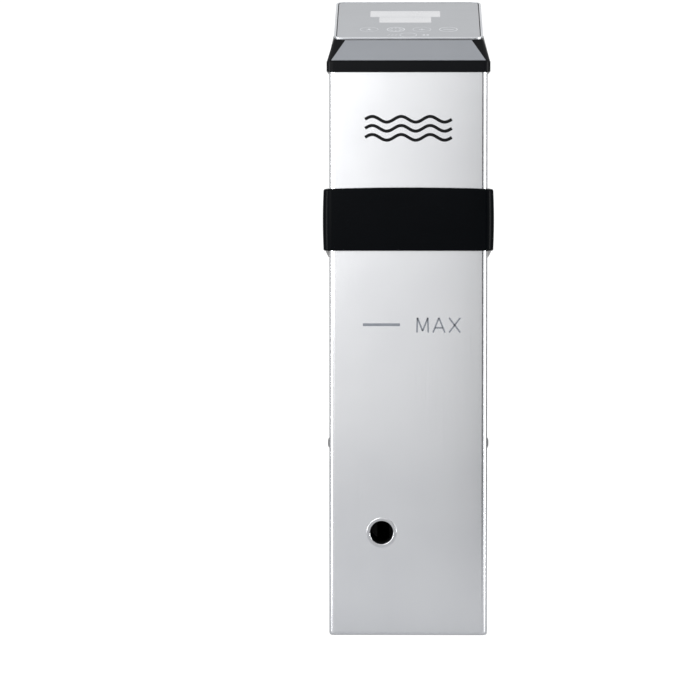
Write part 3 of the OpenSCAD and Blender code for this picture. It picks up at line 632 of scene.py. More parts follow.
# Heat sink: extruded aluminium with lengthwise die lines.
EXTRUDED_ALUMINIUM = surface("extruded_aluminium", "#B4B6B9", "#A5A7AB", (0.3, 0.3, 20), 14, (0.28, 0.42),
                             0.004, Metallic=1.0)
# Pump: glass-filled polypropylene, dark grey with moulding mottle.
PUMP_PLASTIC = surface("glass_filled_polypropylene", "#191B1D", "#232527", (0.9, 0.9, 0.9), 10,
                       (0.4, 0.58), 0.015, 1.4, Specular_IOR_Level=0.4)
# Heater: stainless sheath browned by heat in soft patches.
HEATED_STEEL = surface("heat_tinted_stainless", "#8E8478", "#6F6A6C", (0.4, 0.4, 0.4), 9, (0.3, 0.5),
                       0.004, 2.0, Metallic=1.0)
# Screws: plain stainless with the stamping's soft sheen.
SCREW_STEEL = surface("stamped_stainless_screws", "#B0B2B4", "#9B9DA0", (0.5, 0.5, 0.5), 3, (0.24, 0.4),
                      0.004, Metallic=1.0)
# Room: matt floor paper, black felt that takes the light away, and a grey card lying on the floor. The grey
# card shows only in reflections, where it is painted shade: a darker floor for the steel to mirror near its
# foot.
FLOOR_PAPER = surface("pale_matt_floor", "#F6F6F6", "#F4F4F4", (3, 3, 3), 400, (0.8, 0.95), 0.01,
                      Specular_IOR_Level=0.1)
FELT = surface("black_felt_card", "#202122", "#1C1D1E", (2, 2, 2), 60, (0.9, 1.0), 0.01,
               Specular_IOR_Level=0.0)
REFLECTED_SHADE_CARD = surface("grey_card_reflected_shade", "#B4B5B7", "#AEAFB1", (2, 2, 2), 60, (0.8, 0.95), 0.01,
                    Specular_IOR_Level=0.1)

# ------------------------------------------------------------------ steel column


def row_of_slots(count, pitch, width, length, depth, place):
    """Cutters for a row of slots, centred and put in place"""
    mesh = grown(SLOTS, BRUSHED_SHEET, Count=count, Pitch=float(pitch), Width=float(width),
                 Length=float(length), Depth=float(depth))
    centred = Matrix.Translation((-(count - 1) * pitch / 2, 0, 0))
    return at_points(mesh, [place @ centred])


def bore(radius, start, direction, length, steps=48):
    """A round cutter from a starting point along a direction"""
    bm = bmesh.new()
    turned(bm, [(radius, 0), (radius, length)], pointing(start, direction), steps)
    return bm


def make_upper_casing():
    bm = bmesh.new()
    section = soften([(0, casing_low.z), (0, HEAD_Z), (SHEET, HEAD_Z), (SHEET, casing_low.z)], 0.25)
    wall(bm, COLUMN_W, CASING_D, COLUMN_R, section, CASING_MID)
    opening = bmesh.new()
    (left, bottom), (right, top) = VENT_HOLE
    block(opening, (left, REAR_Y - 4, bottom), (right, REAR_Y + 4, top), 0)
    bm = carve(bm, opening)
    bm = carve(bm, bore(8, (GLAND_HOLE[0], REAR_Y - 4, GLAND_HOLE[1]), (0, 1, 0), 8))
    piece(bm, "upper_casing_sheet", "housing", "steel_shell", BRUSHED_SHEET, "upper_casing")


def make_sleeve():
    bm = bmesh.new()
    top = sleeve_high.z
    section = soften([(0, top), (0, 0), (BASE_ROUND, 0), (BASE_ROUND, 1.0), (SHEET, 2.4), (SHEET, top)],
                     [0.25, BASE_ROUND * 0.98, 0.15, 0.3, 0.5, 0.25], steps=6)
    wall(bm, COLUMN_W, SLEEVE_D, COLUMN_R, section)
    on_side = Matrix(((0, 0, 1, 0), (1, 0, 0, 0), (0, 1, 0, 0), (0, 0, 0, 1)))
    lying_slots = Matrix.Translation((0, 0, SLOTS_Z)) @ on_side
    for side in (-1, 1):
        spot = Matrix.Translation((side * COLUMN_W / 2, 0, 0))
        bm = carve(bm, row_of_slots(7, 9, 3.4, 28, 8, spot @ lying_slots))
        bm = carve(bm, bore(2.2, (side * (COLUMN_W / 2 - 4), 0, BUMPER_Z), (side, 0, 0), 8, 24))
    bm = carve(bm, bore(OUTLET_R, OUTLET - Vector((0, 4, 0)), (0, 1, 0), 8, 64))
    piece(bm, "lower_sleeve_sheet", "sleeve", "steel_shell", BRUSHED_SHEET, "lower_sleeve")


def make_base_cap():
    bm = bmesh.new()
    slab(bm, COLUMN_W - 2 * BASE_ROUND - 0.1, SLEEVE_D - 2 * BASE_ROUND - 0.1, 1.4, 0, 2.5, 0.25)
    for y in (-20, 20):
        bm = carve(bm, row_of_slots(9, 9, 3.4, 24, 8, Matrix.Translation((0, y, 1))))
    piece(bm, "base_cap_plate", "sleeve", "steel_shell", BRUSHED_SHEET, "base_cap")


def make_outlet_ring():
    bore_r = 7.0
    profile = soften([(bore_r, -1.0), (bore_r, 0.6), (OUTLET_R + 1, 0.6), (OUTLET_R + 1, 0.02),
                      (OUTLET_R - 0.1, 0.02), (OUTLET_R - 0.1, -1.0)], [0.15, 0.4, 0.45, 0, 0, 0.15])
    turned_piece(profile, pointing(OUTLET, (0, -1, 0)), 72, True,
                 "outlet_ring_polished", "sleeve", "polished_trim", POLISHED, "outlet_ring")


def make_side_bumpers():
    bm = bmesh.new()
    for side in (-1, 1):
        profile = soften([(0, -2.0), (2.8, -2.0), (2.8, -1.05), (2.1, -1.05), (2.1, 0), (3.4, 0), (3.4, 0.7),
                          (2.0, 1.4), (0, 1.4)], [0, 0.3, 0.2, 0, 0, 0.1, 0.5, 1.2, 0], closed=False)
        turned(bm, profile, pointing((side * COLUMN_W / 2, 0, BUMPER_Z), (side, 0, 0)), 32)
    piece(bm, "side_bumpers_rubber", "sleeve", "rubber_parts", BLACK_RUBBER, "side_bumpers")


LETTER_H = 8.9
LETTERS = {      # strokes on a grid one letter high
    "M": [[(0, 0), (0.03, 1), (0.38, 0.1), (0.73, 1), (0.76, 0)]],
    "A": [[(0, 0), (0.4, 1), (0.8, 0)], [(0.14, 0.32), (0.66, 0.32)]],
    "X": [[(0, 0), (0.76, 1)], [(0, 1), (0.76, 0)]],
}


def make_level_mark():
    """The etched fill line and its three plain letters on the sleeve's front"""
    bm = bmesh.new()
    outward = Vector((0, -1, 0))
    level = 187.1
    letter_foot = 182.4
    ribbon(bm, [(-27.3, FRONT_Y, level), (-5.0, FRONT_Y, level)], 1.7, 0.03, outward)
    left = 5.2               # where the first letter starts
    for letter in "MAX":
        for stroke in LETTERS[letter]:
            path = [(left + x * LETTER_H, FRONT_Y, letter_foot + z * LETTER_H) for x, z in stroke]
            for start, end in zip(path, path[1:]):
                ribbon(bm, [start, end], 1.0, 0.03, outward)
        left += LETTER_H * 1.08
    piece(bm, "level_mark_etched", "sleeve", "facet_trim", ETCHED_MARK)


def make_wave_mark():
    """A plain printed mark of three water waves on the upper casing"""
    bm = bmesh.new()
    half_w, lowest, spacing, swing = 26, 299.4, 5.4, 1.7
    steps, waves = 60, 3
    for row in range(3):
        path = []
        for i in range(steps + 1):
            x = -half_w + 2 * half_w * i / steps
            z = lowest + row * spacing + swing * math.sin(math.tau * waves * i / steps)
            path.append((x, FRONT_Y, z))
        ribbon(bm, path, 1.9, 0.04, Vector((0, -1, 0)))
    piece(bm, "wave_mark_print", "housing", "head_plastic", DARK_INK)


# ------------------------------------------------------------------ head


def on_panel():
    """The touch panel's own frame: x across, y up the panel, z off its face"""
    return Matrix.Translation((0, PANEL_Y, PANEL_Z)) @ Matrix.Rotation(PANEL_TILT, 4, "X")


def make_head():
    rings = []

    def level(half_w, front, back, z, radius):
        """A level ring of the shell's skin"""
        outline = rounded_outline(2 * half_w, back - front, radius, (front + back) / 2)
        rings.append([point + Vector((0, 0, z)) for point in outline])

    def top(inset, z, radius, length=TOP_LEN):
        """A ring that lies in the tilted panel's own frame"""
        outline = rounded_outline(PANEL_W - 2 * inset, length - 2 * inset, radius, length / 2)
        rings.append([on_panel() @ (point + Vector((0, 0, z))) for point in outline])

    front, back = HEAD_FRONT, head_high.y
    half = HEAD_W / 2
    skirt = COLUMN_W / 2 - SHEET - 0.35
    inset = half - skirt
    level(skirt, front + inset, back - inset, SKIRT_Z, 2.2)
    level(skirt, front + inset, back - inset, HEAD_Z + 0.02, 2.2)
    lip = soften([(inset, HEAD_Z + 0.02), (0, HEAD_Z), (0, LIP_TOP - 0.2), (1.2, LIP_TOP)], [0, 0.8, 0.6, 0],
                 closed=False)
    for reach, z in lip[1:]:
        level(half - reach, front + reach, back - reach, z, HEAD_R - reach * 0.5)
    level(PANEL_W / 2 + 0.7, PANEL_Y - 4, back - 3, LIP_TOP + SHOULDER - 0.6, 2.4)
    level(PANEL_W / 2, PANEL_Y, back - 5, LIP_TOP + SHOULDER + 0.6, 2.0)
    for reach, z in soften([(0, -1.6), (0, 0), (1.8, 0)], [0, 0.9, 0], closed=False):
        top(reach, z, 1.8)
    top(2.5, 0, 2.4)
    top(2.5, -3.6, 2.4)
    top(4.6, -3.6, 2.4)
    level(PANEL_W / 2 - 3, front + 16, back - 7, LIP_TOP - 1, 2.2)
    level(skirt - 2, front + inset + 2, back - inset - 2, HEAD_Z - 1, 2.2)
    level(skirt - 2, front + inset + 2, back - inset - 2, SKIRT_Z, 2.2)
    bm = bmesh.new()
    skin(bm, rings, loop=True)
    rings.clear()
    level(half - 1.2, front + 1.2, front + BROW - 2, LIP_TOP - 0.6, 2.6)
    level(half - 0.3, front + 0.3, front + BROW, LIP_TOP - 0.15, 3.4)
    for reach, z in soften([(-0.2, -0.5), (0.3, -0.05), (1.8, -0.05)], [0, 0.2, 0], closed=False):
        top(reach, z, 1.6, 14.0)
    skin(bm, rings)
    piece(bm, "head_housing_shell", "housing", "head_plastic", HEAD_ABS, "head_housing", angle=30)


def make_front_facet():
    bm = bmesh.new()
    slope = math.atan2(SLOPE_RISE, SLOPE_RUN)
    length = math.hypot(SLOPE_RISE, SLOPE_RUN)
    place = Matrix.Translation((0, HEAD_FRONT, LIP_TOP)) @ Matrix.Rotation(slope, 4, "X")
    outline = [(-46.1, 0.4), (46.1, 0.4), (38.0, length - 0.25), (-38.0, length - 0.25)]
    prism(bm, outline, -0.5, 0.2, 0.12, place)
    piece(bm, "front_facet_trim", "housing", "facet_trim", FACET_LACQUER, "front_facet")


RIM = 1.35           # width of the light metal rim round the touch cover
RIM_GAP = 0.45       # dark joint between rim and cover


def make_panel_rim():
    bm = bmesh.new()
    section = soften([(0, -0.2), (0, 1.2), (RIM, 1.2), (RIM, -0.2)], [0, 0.5, 0.35, 0])
    wall(bm, PANEL_W, PANEL_LEN, PANEL_R, section, 1 + PANEL_LEN / 2, on_panel())
    piece(bm, "panel_rim_metal", "housing", "panel_rim", SATIN_RIM, "panel_bezel")


COVER_FACE = 0.95    # height of the cover's face above the panel
# The two windows: middle x, near edge, width, length
DISPLAY_BARS = ((-2.0, 53.9, 43.0, 15.0), (-2.0, 39.4, 31.8, 13.9))


def make_touch_cover():
    bm = bmesh.new()
    edge = 2 * (RIM + RIM_GAP)
    slab(bm, PANEL_W - edge, PANEL_LEN - edge, PANEL_R - RIM - RIM_GAP, -1.5, COVER_FACE, 0.35,
         1 + PANEL_LEN / 2, on_panel())
    for middle, near, width, length in DISPLAY_BARS:
        window = bmesh.new()
        block(window, (middle - width / 2, near, 0.4), (middle + width / 2, near + length, 3), 0, on_panel())
        bm = carve(bm, window)
    for x in (-33, 33):
        for y in (14, 80):
            turned(bm, pin(3.4, -7.2, -1.5, 0.4, 0), on_panel() @ Matrix.Translation((x, y, 0)), 24)
    piece(bm, "touch_cover_film", "housing", "panel_cover", TOUCH_COVER, "touch_panel")
    gap = bmesh.new()
    wall(gap, PANEL_W - 2 * RIM + 0.2, PANEL_LEN - 2 * RIM + 0.2, PANEL_R - RIM,
         [(0, -0.9), (0, 0.45), (RIM_GAP + 0.3, 0.45), (RIM_GAP + 0.3, -0.9)], 1 + PANEL_LEN / 2, on_panel())
    piece(gap, "touch_cover_joint", "housing", "rubber_parts", BLACK_RUBBER)


def make_display():
    bm = bmesh.new()
    for middle, near, width, length in DISPLAY_BARS:
        block(bm, (middle - width / 2, near, -0.6), (middle + width / 2, near + length, 0.98), 0.1,
              on_panel())
    piece(bm, "display_windows_acrylic", "housing", "display", DISPLAY_ACRYLIC, "display_windows")


def flat_ring(bm, x, y, radius, width, place):
    """A thin printed ring on the touch cover"""
    top = COVER_FACE + 0.04
    turned(bm, [(radius - width, COVER_FACE), (radius - width, top), (radius, top), (radius, COVER_FACE)],
           place @ Matrix.Translation((x, y, 0)), 48, loop=True)


def make_touch_marks():
    """Plain key marks printed on the cover: start, timer, plus, minus, and the small marks below them"""
    bm = bmesh.new()
    place = on_panel()
    upper, lower = 22.2, 8.5
    for x, width in ((-23.9, 0.3), (-7.7, 0.75), (8.1, 0.3), (24.2, 0.5)):
        flat_ring(bm, x, upper, 5.6, width, place)
    flat_ring(bm, -0.2, lower, 5.2, 0.35, place)
    up = place.to_3x3() @ Vector((0, 0, 1))

    def stroke(points, width):
        ribbon(bm, [place @ Vector((x, y, COVER_FACE)) for x, y in points], width, 0.04, up)

    stroke([(-25.5, upper - 1.6), (-22.3, upper - 1.6)], 0.8)
    stroke([(-23.9, upper - 1.9), (-23.9, upper + 1.7)], 1.5)
    for i in range(8):
        turn = math.tau * i / 8
        stroke([(-7.7 + 2.6 * math.cos(turn), upper + 2.6 * math.sin(turn)),
                (-7.7 + 4.1 * math.cos(turn), upper + 4.1 * math.sin(turn))], 0.7)
    stroke([(6.3, upper), (9.9, upper)], 0.8)
    stroke([(8.1, upper - 1.8), (8.1, upper + 1.8)], 0.8)
    stroke([(21.0, upper), (27.4, upper)], 0.8)
    for x in (-12.5, -10.3, -8.1):
        stroke([(x, lower - 1.0), (x + 1.2, lower + 1.0)], 0.4)
    for x in (9.3, 11.6):
        stroke([(x, lower - 1.1), (x, lower + 1.1)], 1.5)
    piece(bm, "touch_marks_print", "housing", "display", LIGHT_INK)


# ------------------------------------------------------------------ collar


def collar_bottom(y):
    """Height of the collar's lower edge: level in front, down along the cheeks, up over the pot rim"""
    if y < FRONT_Y + 4:
        return COLLAR_Z
    if y < 20:
        return COLLAR_Z + (CHEEK_Z - COLLAR_Z) * (y - FRONT_Y - 4) / (16 - FRONT_Y)
    if y <= TONGUE_BACK:
        return CHEEK_Z
    return BRIDGE_Z


def make_collar():
    bm = bmesh.new()
    slope_start = FRONT_Y + 4
    stations = [slope_start - 1.2, slope_start + 0.8, slope_start + 3, -24, -12, 0, 12, 18, 20, 22, 32, 41.5,
                TONGUE_BACK - 0.7, TONGUE_BACK - 0.15, TONGUE_BACK, TONGUE_BACK + 0.01, TONGUE_BACK + 1.2,
                60, 75]
    xs = [COLLAR_W / 2 * k / 10 for k in (-7, -5, -3, -1, 1, 3, 5, 7)]
    passage = (COLLAR_W - COLUMN_W - 0.6) / 2
    levels = 6
    lean = 0.42              # the side wall's draft at its foot and its head

    outer = rounded_outline(COLLAR_W, COLLAR_D, COLLAR_R, COLLAR_MID, 8, stations, xs)

    def bevel_at(y):
        reach = min(max((y - slope_start) / 3, 0), 1) if y < TONGUE_BACK + 0.005 else 0.25
        return 0.9 + 2.3 * reach, 0.9 + 4.7 * reach

    def crown_at(point):
        return 0.9 * (1 - (point.x / (COLLAR_W / 2)) ** 2) if point.y < FRONT_Y else 0.0

    def edge_round(y):
        """Lifts the cheek's rear corner a little, so that it is not knife sharp"""
        back = TONGUE_BACK - y
        return 0.9 - math.sqrt(max(0.81 - (0.9 - back) ** 2, 0)) if 0 <= back < 0.9 else 0.0

    # Each entry is (distance in, height) as functions of the point's place on the outer outline.
    path = [(lambda p: passage, lambda p: collar_bottom(p.y) + edge_round(p.y)),
            (lambda p: bevel_at(p.y)[0] + 0.25, lambda p: collar_bottom(p.y) + edge_round(p.y))]
    for step in range(5):
        share = step / 4
        path.append((lambda p, s=share: bevel_at(p.y)[0] * (1 - s) ** 1.25 + lean * s * s,
                     lambda p, s=share: collar_bottom(p.y) + edge_round(p.y) + 0.15 + bevel_at(p.y)[1] * s))
    for step in range(1, levels):
        share = step / levels
        path.append((lambda p, s=share: lean * (2 * s - 1) ** 2,
                     lambda p, s=share: (collar_bottom(p.y) + bevel_at(p.y)[1] + 0.15) * (1 - s)
                     + (COLLAR_TOP - 1.3 + crown_at(p)) * s))
    for reach, drop in ((lean, 1.3), (0.5, 0.8), (0.75, 0.35), (1.15, 0.08), (1.6, 0), (passage - 0.5, 0),
                        (passage - 0.1, 0.15), (passage, 0.5)):
        path.append((lambda p, r=reach: r, lambda p, d=drop: COLLAR_TOP - d + crown_at(p)))

    rings = []
    for inset, height in path:
        row = []
        for index, point in enumerate(outer):
            reach = inset(point)
            inner = rounded_outline(COLLAR_W - 2 * reach, COLLAR_D - 2 * reach, max(COLLAR_R - reach, 0.5),
                                    COLLAR_MID, 8, stations, xs)[index]
            row.append(Vector((inner.x, inner.y, height(point))))
        rings.append(row)
    skin(bm, rings, loop=True)
    inner_x = COLUMN_W / 2 + 0.5
    tongue_x = 31.7
    block(bm, (-inner_x, TONGUE_Y, FLOOR_Z), (inner_x, REAR_Y + 0.6, FLANGE_Z), 0.1)
    for side in (-1, 1):
        low, high = sorted((side * tongue_x, side * inner_x))
        block(bm, (low, TONGUE_Y, CHEEK_Z + 0.05), (high, TONGUE_BACK, FLOOR_Z + 0.5), 0.5)
    piece(bm, "collar_shell", "housing", "collar_plastic", COLLAR_NYLON, "collar", angle=28)


# ------------------------------------------------------------------ clamp


def on_screw(y):
    """Stands a shape's +Z backwards along the clamp's screw, with its foot at y"""
    return pointing((0, y, SCREW_Z), (0, 1, 0))


def make_clamp_bracket():
    bm = bmesh.new()
    half = 31.5
    upright = Matrix(((1, 0, 0, 0), (0, 0, -1, 0), (0, 1, 0, 0), (0, 0, 0, 1)))

    def leg(low_half, bottom, front, back):
        outline = soften([(-half, BRIDGE_Z + 2), (-low_half, bottom + 6), (-low_half + 6, bottom),
                          (low_half - 6, bottom), (low_half, bottom + 6), (half, BRIDGE_Z + 2)],
                         [0, 2.5, 2.5, 2.5, 2.5, 0])
        prism(bm, outline, -back, -front, 0.7, upright)

    block(bm, (-half, TONGUE_Y, BRIDGE_Z), (half, REAR_Y, FLOOR_Z), 0.6)
    leg(25, LEG_FOOT, TONGUE_Y, TONGUE_BACK)
    leg(19, LEG_FOOT, REAR_Y - 10, REAR_Y)
    bm = carve(bm, bore(7.05, (0, REAR_Y - 12, SCREW_Z), (0, 1, 0), 14))
    for x, y in BRACKET_HOLES:
        bm = carve(bm, bore(3.7, (x, y, BRIDGE_Z - 4), (0, 0, 1), 7.05, 32))
    piece(bm, "clamp_bracket_moulding", "housing", "collar_plastic", CLAMP_NYLON, "clamp_bracket")


def make_fixed_pad():
    low, high = node_box("fixed_jaw_pad")
    bm = bmesh.new()
    standing = Matrix.Translation((0, 0, (low.z + high.z) / 2)) @ Matrix.Rotation(math.radians(-90), 4, "X")
    slab(bm, high.x - low.x, high.z - low.z, 4, low.y, high.y - 0.5, 0.3, 0, standing)
    ribs = grown(BARS, BLACK_RUBBER, Count=12, Step=(0.0, 0.0, 3.0), Bar=(40.0, 1.0, 1.4), Tilt=0.0)
    pour(at_points(ribs, [Matrix.Translation((0, high.y - 0.5, low.z + 2.5))]), bm)
    piece(bm, "fixed_jaw_pad_rubber", "housing", "rubber_parts", BLACK_RUBBER, "fixed_jaw_pad")


def make_thread_insert():
    low, high = node_box("thread_insert")
    length = high.y - low.y
    profile = soften([(4.05, 0), (7, 0), (7, length), (4.05, length)], 0.6)
    turned_piece(profile, on_screw(low.y), 48, True,
                 "thread_insert_brass", "housing", "brass_parts", TURNED_BRASS, "thread_insert")


def make_pressure_pad():
    low, high = node_box("pressure_pad")
    radius = (high.x - low.x) / 2
    depth = high.y - low.y
    profile = [(0, 0.5)]
    for groove in range(5):
        inner = 1.5 + groove * 2.3
        profile += [(inner, 0.5), (inner + 0.4, 0), (inner + 1.4, 0), (inner + 1.8, 0.5)]
    profile += soften([(radius - 0.3, 0.5), (radius, 0.9), (radius, depth), (0, depth)], [0, 0.4, 0.3, 0],
                      closed=False)
    turned_piece(profile, on_screw(low.y), 64, False,
                 "pressure_pad_rubber", "clamp_pad", "rubber_parts", BLACK_RUBBER, "pressure_pad")
    low, high = node_box("pad_holder")
    depth = high.y - low.y
    profile = soften([(4.05, 1.0), (0, 1.0), (0, 0), (radius, 0), (radius, 2.5), (7.6, 3.4), (7, depth),
                      (4.05, depth)], [0, 0, 0, 0.3, 0.8, 0.8, 0.6, 0.3])
    turned_piece(profile, on_screw(low.y), 64, True,
                 "pad_holder_cup", "clamp_pad", "knob_plastic", CLAMP_NYLON, "pad_holder")


def make_spindle():
    low, high = node_box("clamp_spindle")
    place = on_screw(low.y)
    length = high.y - low.y
    bm = bmesh.new()
    turned(bm, pin(3.45, 0, length, 0.8, 0.8), place, 40)
    ridge = grown(THREAD, BRIGHT_ROD, Pitch=2.0, Length=length - 6.0, Radius=3.35, Ridge=0.6)
    pour(at_points(ridge, [place @ Matrix.Translation((0, 0, 4.0))]), bm)
    piece(bm, "clamp_spindle_threaded", "clamp_screw", "frame_steel", BRIGHT_ROD, "clamp_spindle", angle=50)


def make_knob():
    low, high = node_box("clamp_knob")
    length = high.y - low.y
    radius = 17.0
    bm = bmesh.new()
    place = on_screw(low.y)
    outer = soften([(8, 0), (8, 2.6), (radius, 2.6), (radius, length), (8.1, length), (8.1, length - 1.5),
                    (0, length - 1.5)], [0.6, 0.8, 1.6, 2.2, 0.4, 0, 0], closed=False, steps=5)
    rings = []
    steps = 120
    for reach, height in [Vector((0, 0))] + outer:
        ring = []
        for i in range(steps):
            turn = math.tau * i / steps
            scallop = 2.6 * ((1 - math.cos(6 * turn)) / 2) ** 1.6 * max(reach - 10, 0) / (radius - 10)
            left = reach - scallop
            ring.append(place @ Vector((left * math.cos(turn), left * math.sin(turn), height)))
        rings.append(ring)
    skin(bm, rings)
    piece(bm, "clamp_knob_moulding", "clamp_screw", "knob_plastic", CLAMP_NYLON, "clamp_knob")
    low, high = node_box("knob_cap")
    depth = high.y - low.y
    groove = depth - 0.35
    profile = soften([(0, 0), (7.9, 0), (7.9, depth - 0.1), (5.2, depth), (4.9, groove), (4.5, groove),
                      (4.2, depth), (0, depth)], [0, 0, 0.4, 0.1, 0.05, 0.05, 0.1, 0], closed=False)
    turned_piece(profile, on_screw(low.y), 48, False,
                 "knob_cap_disc", "clamp_screw", "vent_plastic", HEAD_ABS, "knob_cap")


# ------------------------------------------------------------------ rear wall


def make_cable_gland():
    low, high = node_box("cable_gland")
    x, z = (low.x + high.x) / 2, (low.z + high.z) / 2
    inside = REAR_Y - low.y
    outside = high.y - REAR_Y
    bore_r = 3.6
    profile = [(bore_r, -inside), (7.9, -inside), (7.9, 0.02), (10.5, 0.02), (10.5, 3)]
    ribs = 4
    for rib in range(ribs):
        foot = 3.2 + rib * (outside - 3.6) / ribs
        head = foot + (outside - 3.6) / ribs
        wide = 8 - 2.4 * rib / ribs
        profile += [(wide, foot), (wide, head - 1.2), (wide - 1.6, head - 1.0), (wide - 1.6, head - 0.1)]
    profile += [(5.4, outside - 0.3), (5.4, outside), (bore_r, outside)]
    turned_piece(soften(profile, 0.25, steps=2), pointing((x, REAR_Y, z), (0, 1, 0)), 48, True,
                 "cable_gland_boot", "housing", "vent_plastic", BLACK_RUBBER, "cable_gland")


def make_vent_grille():
    low, high = node_box("vent_grille")
    x, z = (low.x + high.x) / 2, (low.z + high.z) / 2
    width, height = high.x - low.x, high.z - low.z
    bm = bmesh.new()
    standing = Matrix.Translation((x, REAR_Y, z)) @ Matrix.Rotation(math.radians(-90), 4, "X")
    section = soften([(0, 0), (0, 1.6), (5, 1.6), (5, -3), (3.2, -3), (3.2, 0)], [0, 0.5, 0.4, 0, 0, 0])
    wall(bm, width, height, 3, section, 0, standing)
    louvres = grown(BARS, HEAD_ABS, Count=7, Step=(0.0, 0.0, 4.0), Bar=(40.6, 3.6, 1.2),
                    Tilt=math.radians(-28))
    pour(at_points(louvres, [Matrix.Translation((x, REAR_Y - 0.6, z - 12))]), bm)
    piece(bm, "vent_grille_moulding", "housing", "vent_plastic", HEAD_ABS, "vent_grille")


# ------------------------------------------------------------------ frame, pump and heater


def corners(reach_x, reach_y):
    """The four places at equal reaches from the middle"""
    return [(x, y) for x in (-reach_x, reach_x) for y in (-reach_y, reach_y)]


def make_screws(node, head_r, head_h, shank_r, length, direction, feet):
    """One group of cross-recess screws; feet are the places of their heads"""
    sizes = {"Head radius": head_r, "Head height": head_h, "Shank radius": shank_r, "Shank length": length}
    mesh = grown(SCREW, SCREW_STEEL, **sizes)
    bm = at_points(mesh, [pointing(foot, direction) for foot in feet])
    piece(bm, node + "_set", "housing", "screw_steel", SCREW_STEEL, node)


def make_frame():
    low, high = node_box("support_rods")
    bm = bmesh.new()
    for x, y in corners(*ROD_REACH):
        turned(bm, pin(3, low.z, high.z, 0.5, 0.5), Matrix.Translation((x, y, 0)), 32)
        for z in (low.z + 9, high.z - 9):
            ring = soften([(2.9, z - 2.5), (3.05, z - 2.5), (3.05, z + 2.5), (2.9, z + 2.5)], 0.03)
            turned(bm, ring, Matrix.Translation((x, y, 0)), 32, loop=True)
    piece(bm, "support_rods_turned", "housing", "frame_steel", BRIGHT_ROD, "support_rods")
    low, high = node_box("pump_plate")
    bm = bmesh.new()
    slab(bm, 88, 72, 6, low.z, high.z, 0.3)
    # The shaft's hole, the probe's, and two for the water to come back through
    for x, y, radius in ((SHAFT_X, 0, SHAFT_HOLE), (PROBE_X, PROBE_Y, 2.4), (-25, -12, 5), (-25, 12, 5)):
        bm = carve(bm, bore(radius, (x, y, low.z - 2), (0, 0, 1), 8, 32))
    notch = bmesh.new()
    block(notch, (-31.2, 25.8, low.z - 2), (-6.8, 40, high.z + 2), 0)
    bm = carve(bm, notch)
    piece(bm, "pump_plate_punched", "housing", "frame_steel", BRIGHT_ROD, "pump_plate")


def make_pump():
    low, high = node_box("pump_housing")
    at = Matrix.Translation((SHAFT_X, 0, 0))
    bm = bmesh.new()
    ceiling = high.z - 3
    shell = soften([(PUMP_ROOM_R, low.z), (PUMP_R, low.z), (PUMP_R, high.z), (SHAFT_HOLE, high.z),
                    (SHAFT_HOLE, ceiling), (PUMP_ROOM_R, ceiling)], [0.2, 0.2, 1.0, 0.3, 0.3, 1.0])
    turned(bm, shell, at, 96, loop=True)
    nozzle = bmesh.new()
    end = OUTLET.y + SHEET + 0.3
    turned(nozzle, pin(9, 0, 4 - end, 0.8, 0), pointing((OUTLET.x, end, OUTLET.z), (0, 1, 0)), 64)
    bm = carve(bm, nozzle, "UNION")
    bm = carve(bm, bore(PUMP_ROOM_R, (SHAFT_X, 0, low.z - 1), (0, 0, 1), high.z - low.z - 2, 96))
    bm = carve(bm, bore(7, (OUTLET.x, end - 1, OUTLET.z), (0, 1, 0), 3 - end, 64))
    for i in range(12):
        turn = math.radians(15 + 30 * i)
        rib = at @ Matrix.Rotation(turn, 4, "Z")
        if abs(math.cos(turn) * 29 + SHAFT_X - OUTLET.x) > 11 or math.sin(turn) > 0:
            block(bm, (PUMP_R - 1.1, -0.7, low.z + 0.5), (PUMP_R + 0.6, 0.7, high.z - 1.2), 0.25, rib)
    piece(bm, "pump_housing_moulding", "housing", "pump_plastic", PUMP_PLASTIC, "pump_housing")
    low, high = node_box("pump_cover")
    bm = bmesh.new()
    face = low.z + 2.5
    plug_r = PUMP_ROOM_R - 0.1
    plate = soften([(12, low.z), (PUMP_R, low.z), (PUMP_R, face), (plug_r, face), (plug_r, high.z),
                    (25, high.z), (25, face), (12, face)], [0.6, 0.6, 0.2, 0, 0.3, 0.3, 0, 0.4])
    turned(bm, plate, at, 96, loop=True)
    for i in range(6):
        spoke = at @ Matrix.Rotation(math.tau * i / 6, 4, "Z")
        block(bm, (2.5, -0.8, low.z + 0.3), (12.5, 0.8, low.z + 2.2), 0.2, spoke)
    turned(bm, pin(3.4, low.z + 0.3, low.z + 2.2, 0.3, 0.3), at, 32)
    piece(bm, "pump_cover_strainer", "housing", "pump_plastic", PUMP_PLASTIC, "pump_cover")


def loop_path(half_x, half_y, bend, z):
    """One flat loop of the heater, with points along its straights"""
    outline = rounded_outline(2 * half_x, 2 * half_y, bend, 0, 8, (-10, 0, 10), (-15, 0, 15))
    return [point + Vector((0, 0, z)) for point in outline]


def make_heater():
    bm = bmesh.new()
    for turn in range(3):
        closed_tube(bm, loop_path(39, HEATER_LEG_Y, 12, HEATER_Z + HEATER_RISE * turn), 4.0, 20)
    low, high = node_box("heater_tube")
    shoulder = high.z - 4
    leg = soften([(0, HEATER_Z), (3.9, HEATER_Z), (3.9, shoulder), (1.6, shoulder), (1.6, high.z),
                  (0, high.z)], [0, 0, 0.6, 0, 0.3, 0], closed=False)
    for x in HEATER_LEGS:
        turned(bm, leg, Matrix.Translation((x, HEATER_LEG_Y, 0)), 32)
    piece(bm, "heater_tube_bent", "housing", "heater_steel", HEATED_STEEL, "heater_tube")
    low, high = node_box("heater_collars")
    bm = bmesh.new()
    collar = soften([(3.95, low.z), (5.4, low.z), (5.4, high.z), (3.95, high.z)], 0.35)
    for x in HEATER_LEGS:
        turned(bm, collar, Matrix.Translation((x, HEATER_LEG_Y, 0)), 40, loop=True)
    piece(bm, "heater_collars_brass", "housing", "brass_parts", TURNED_BRASS, "heater_collars")


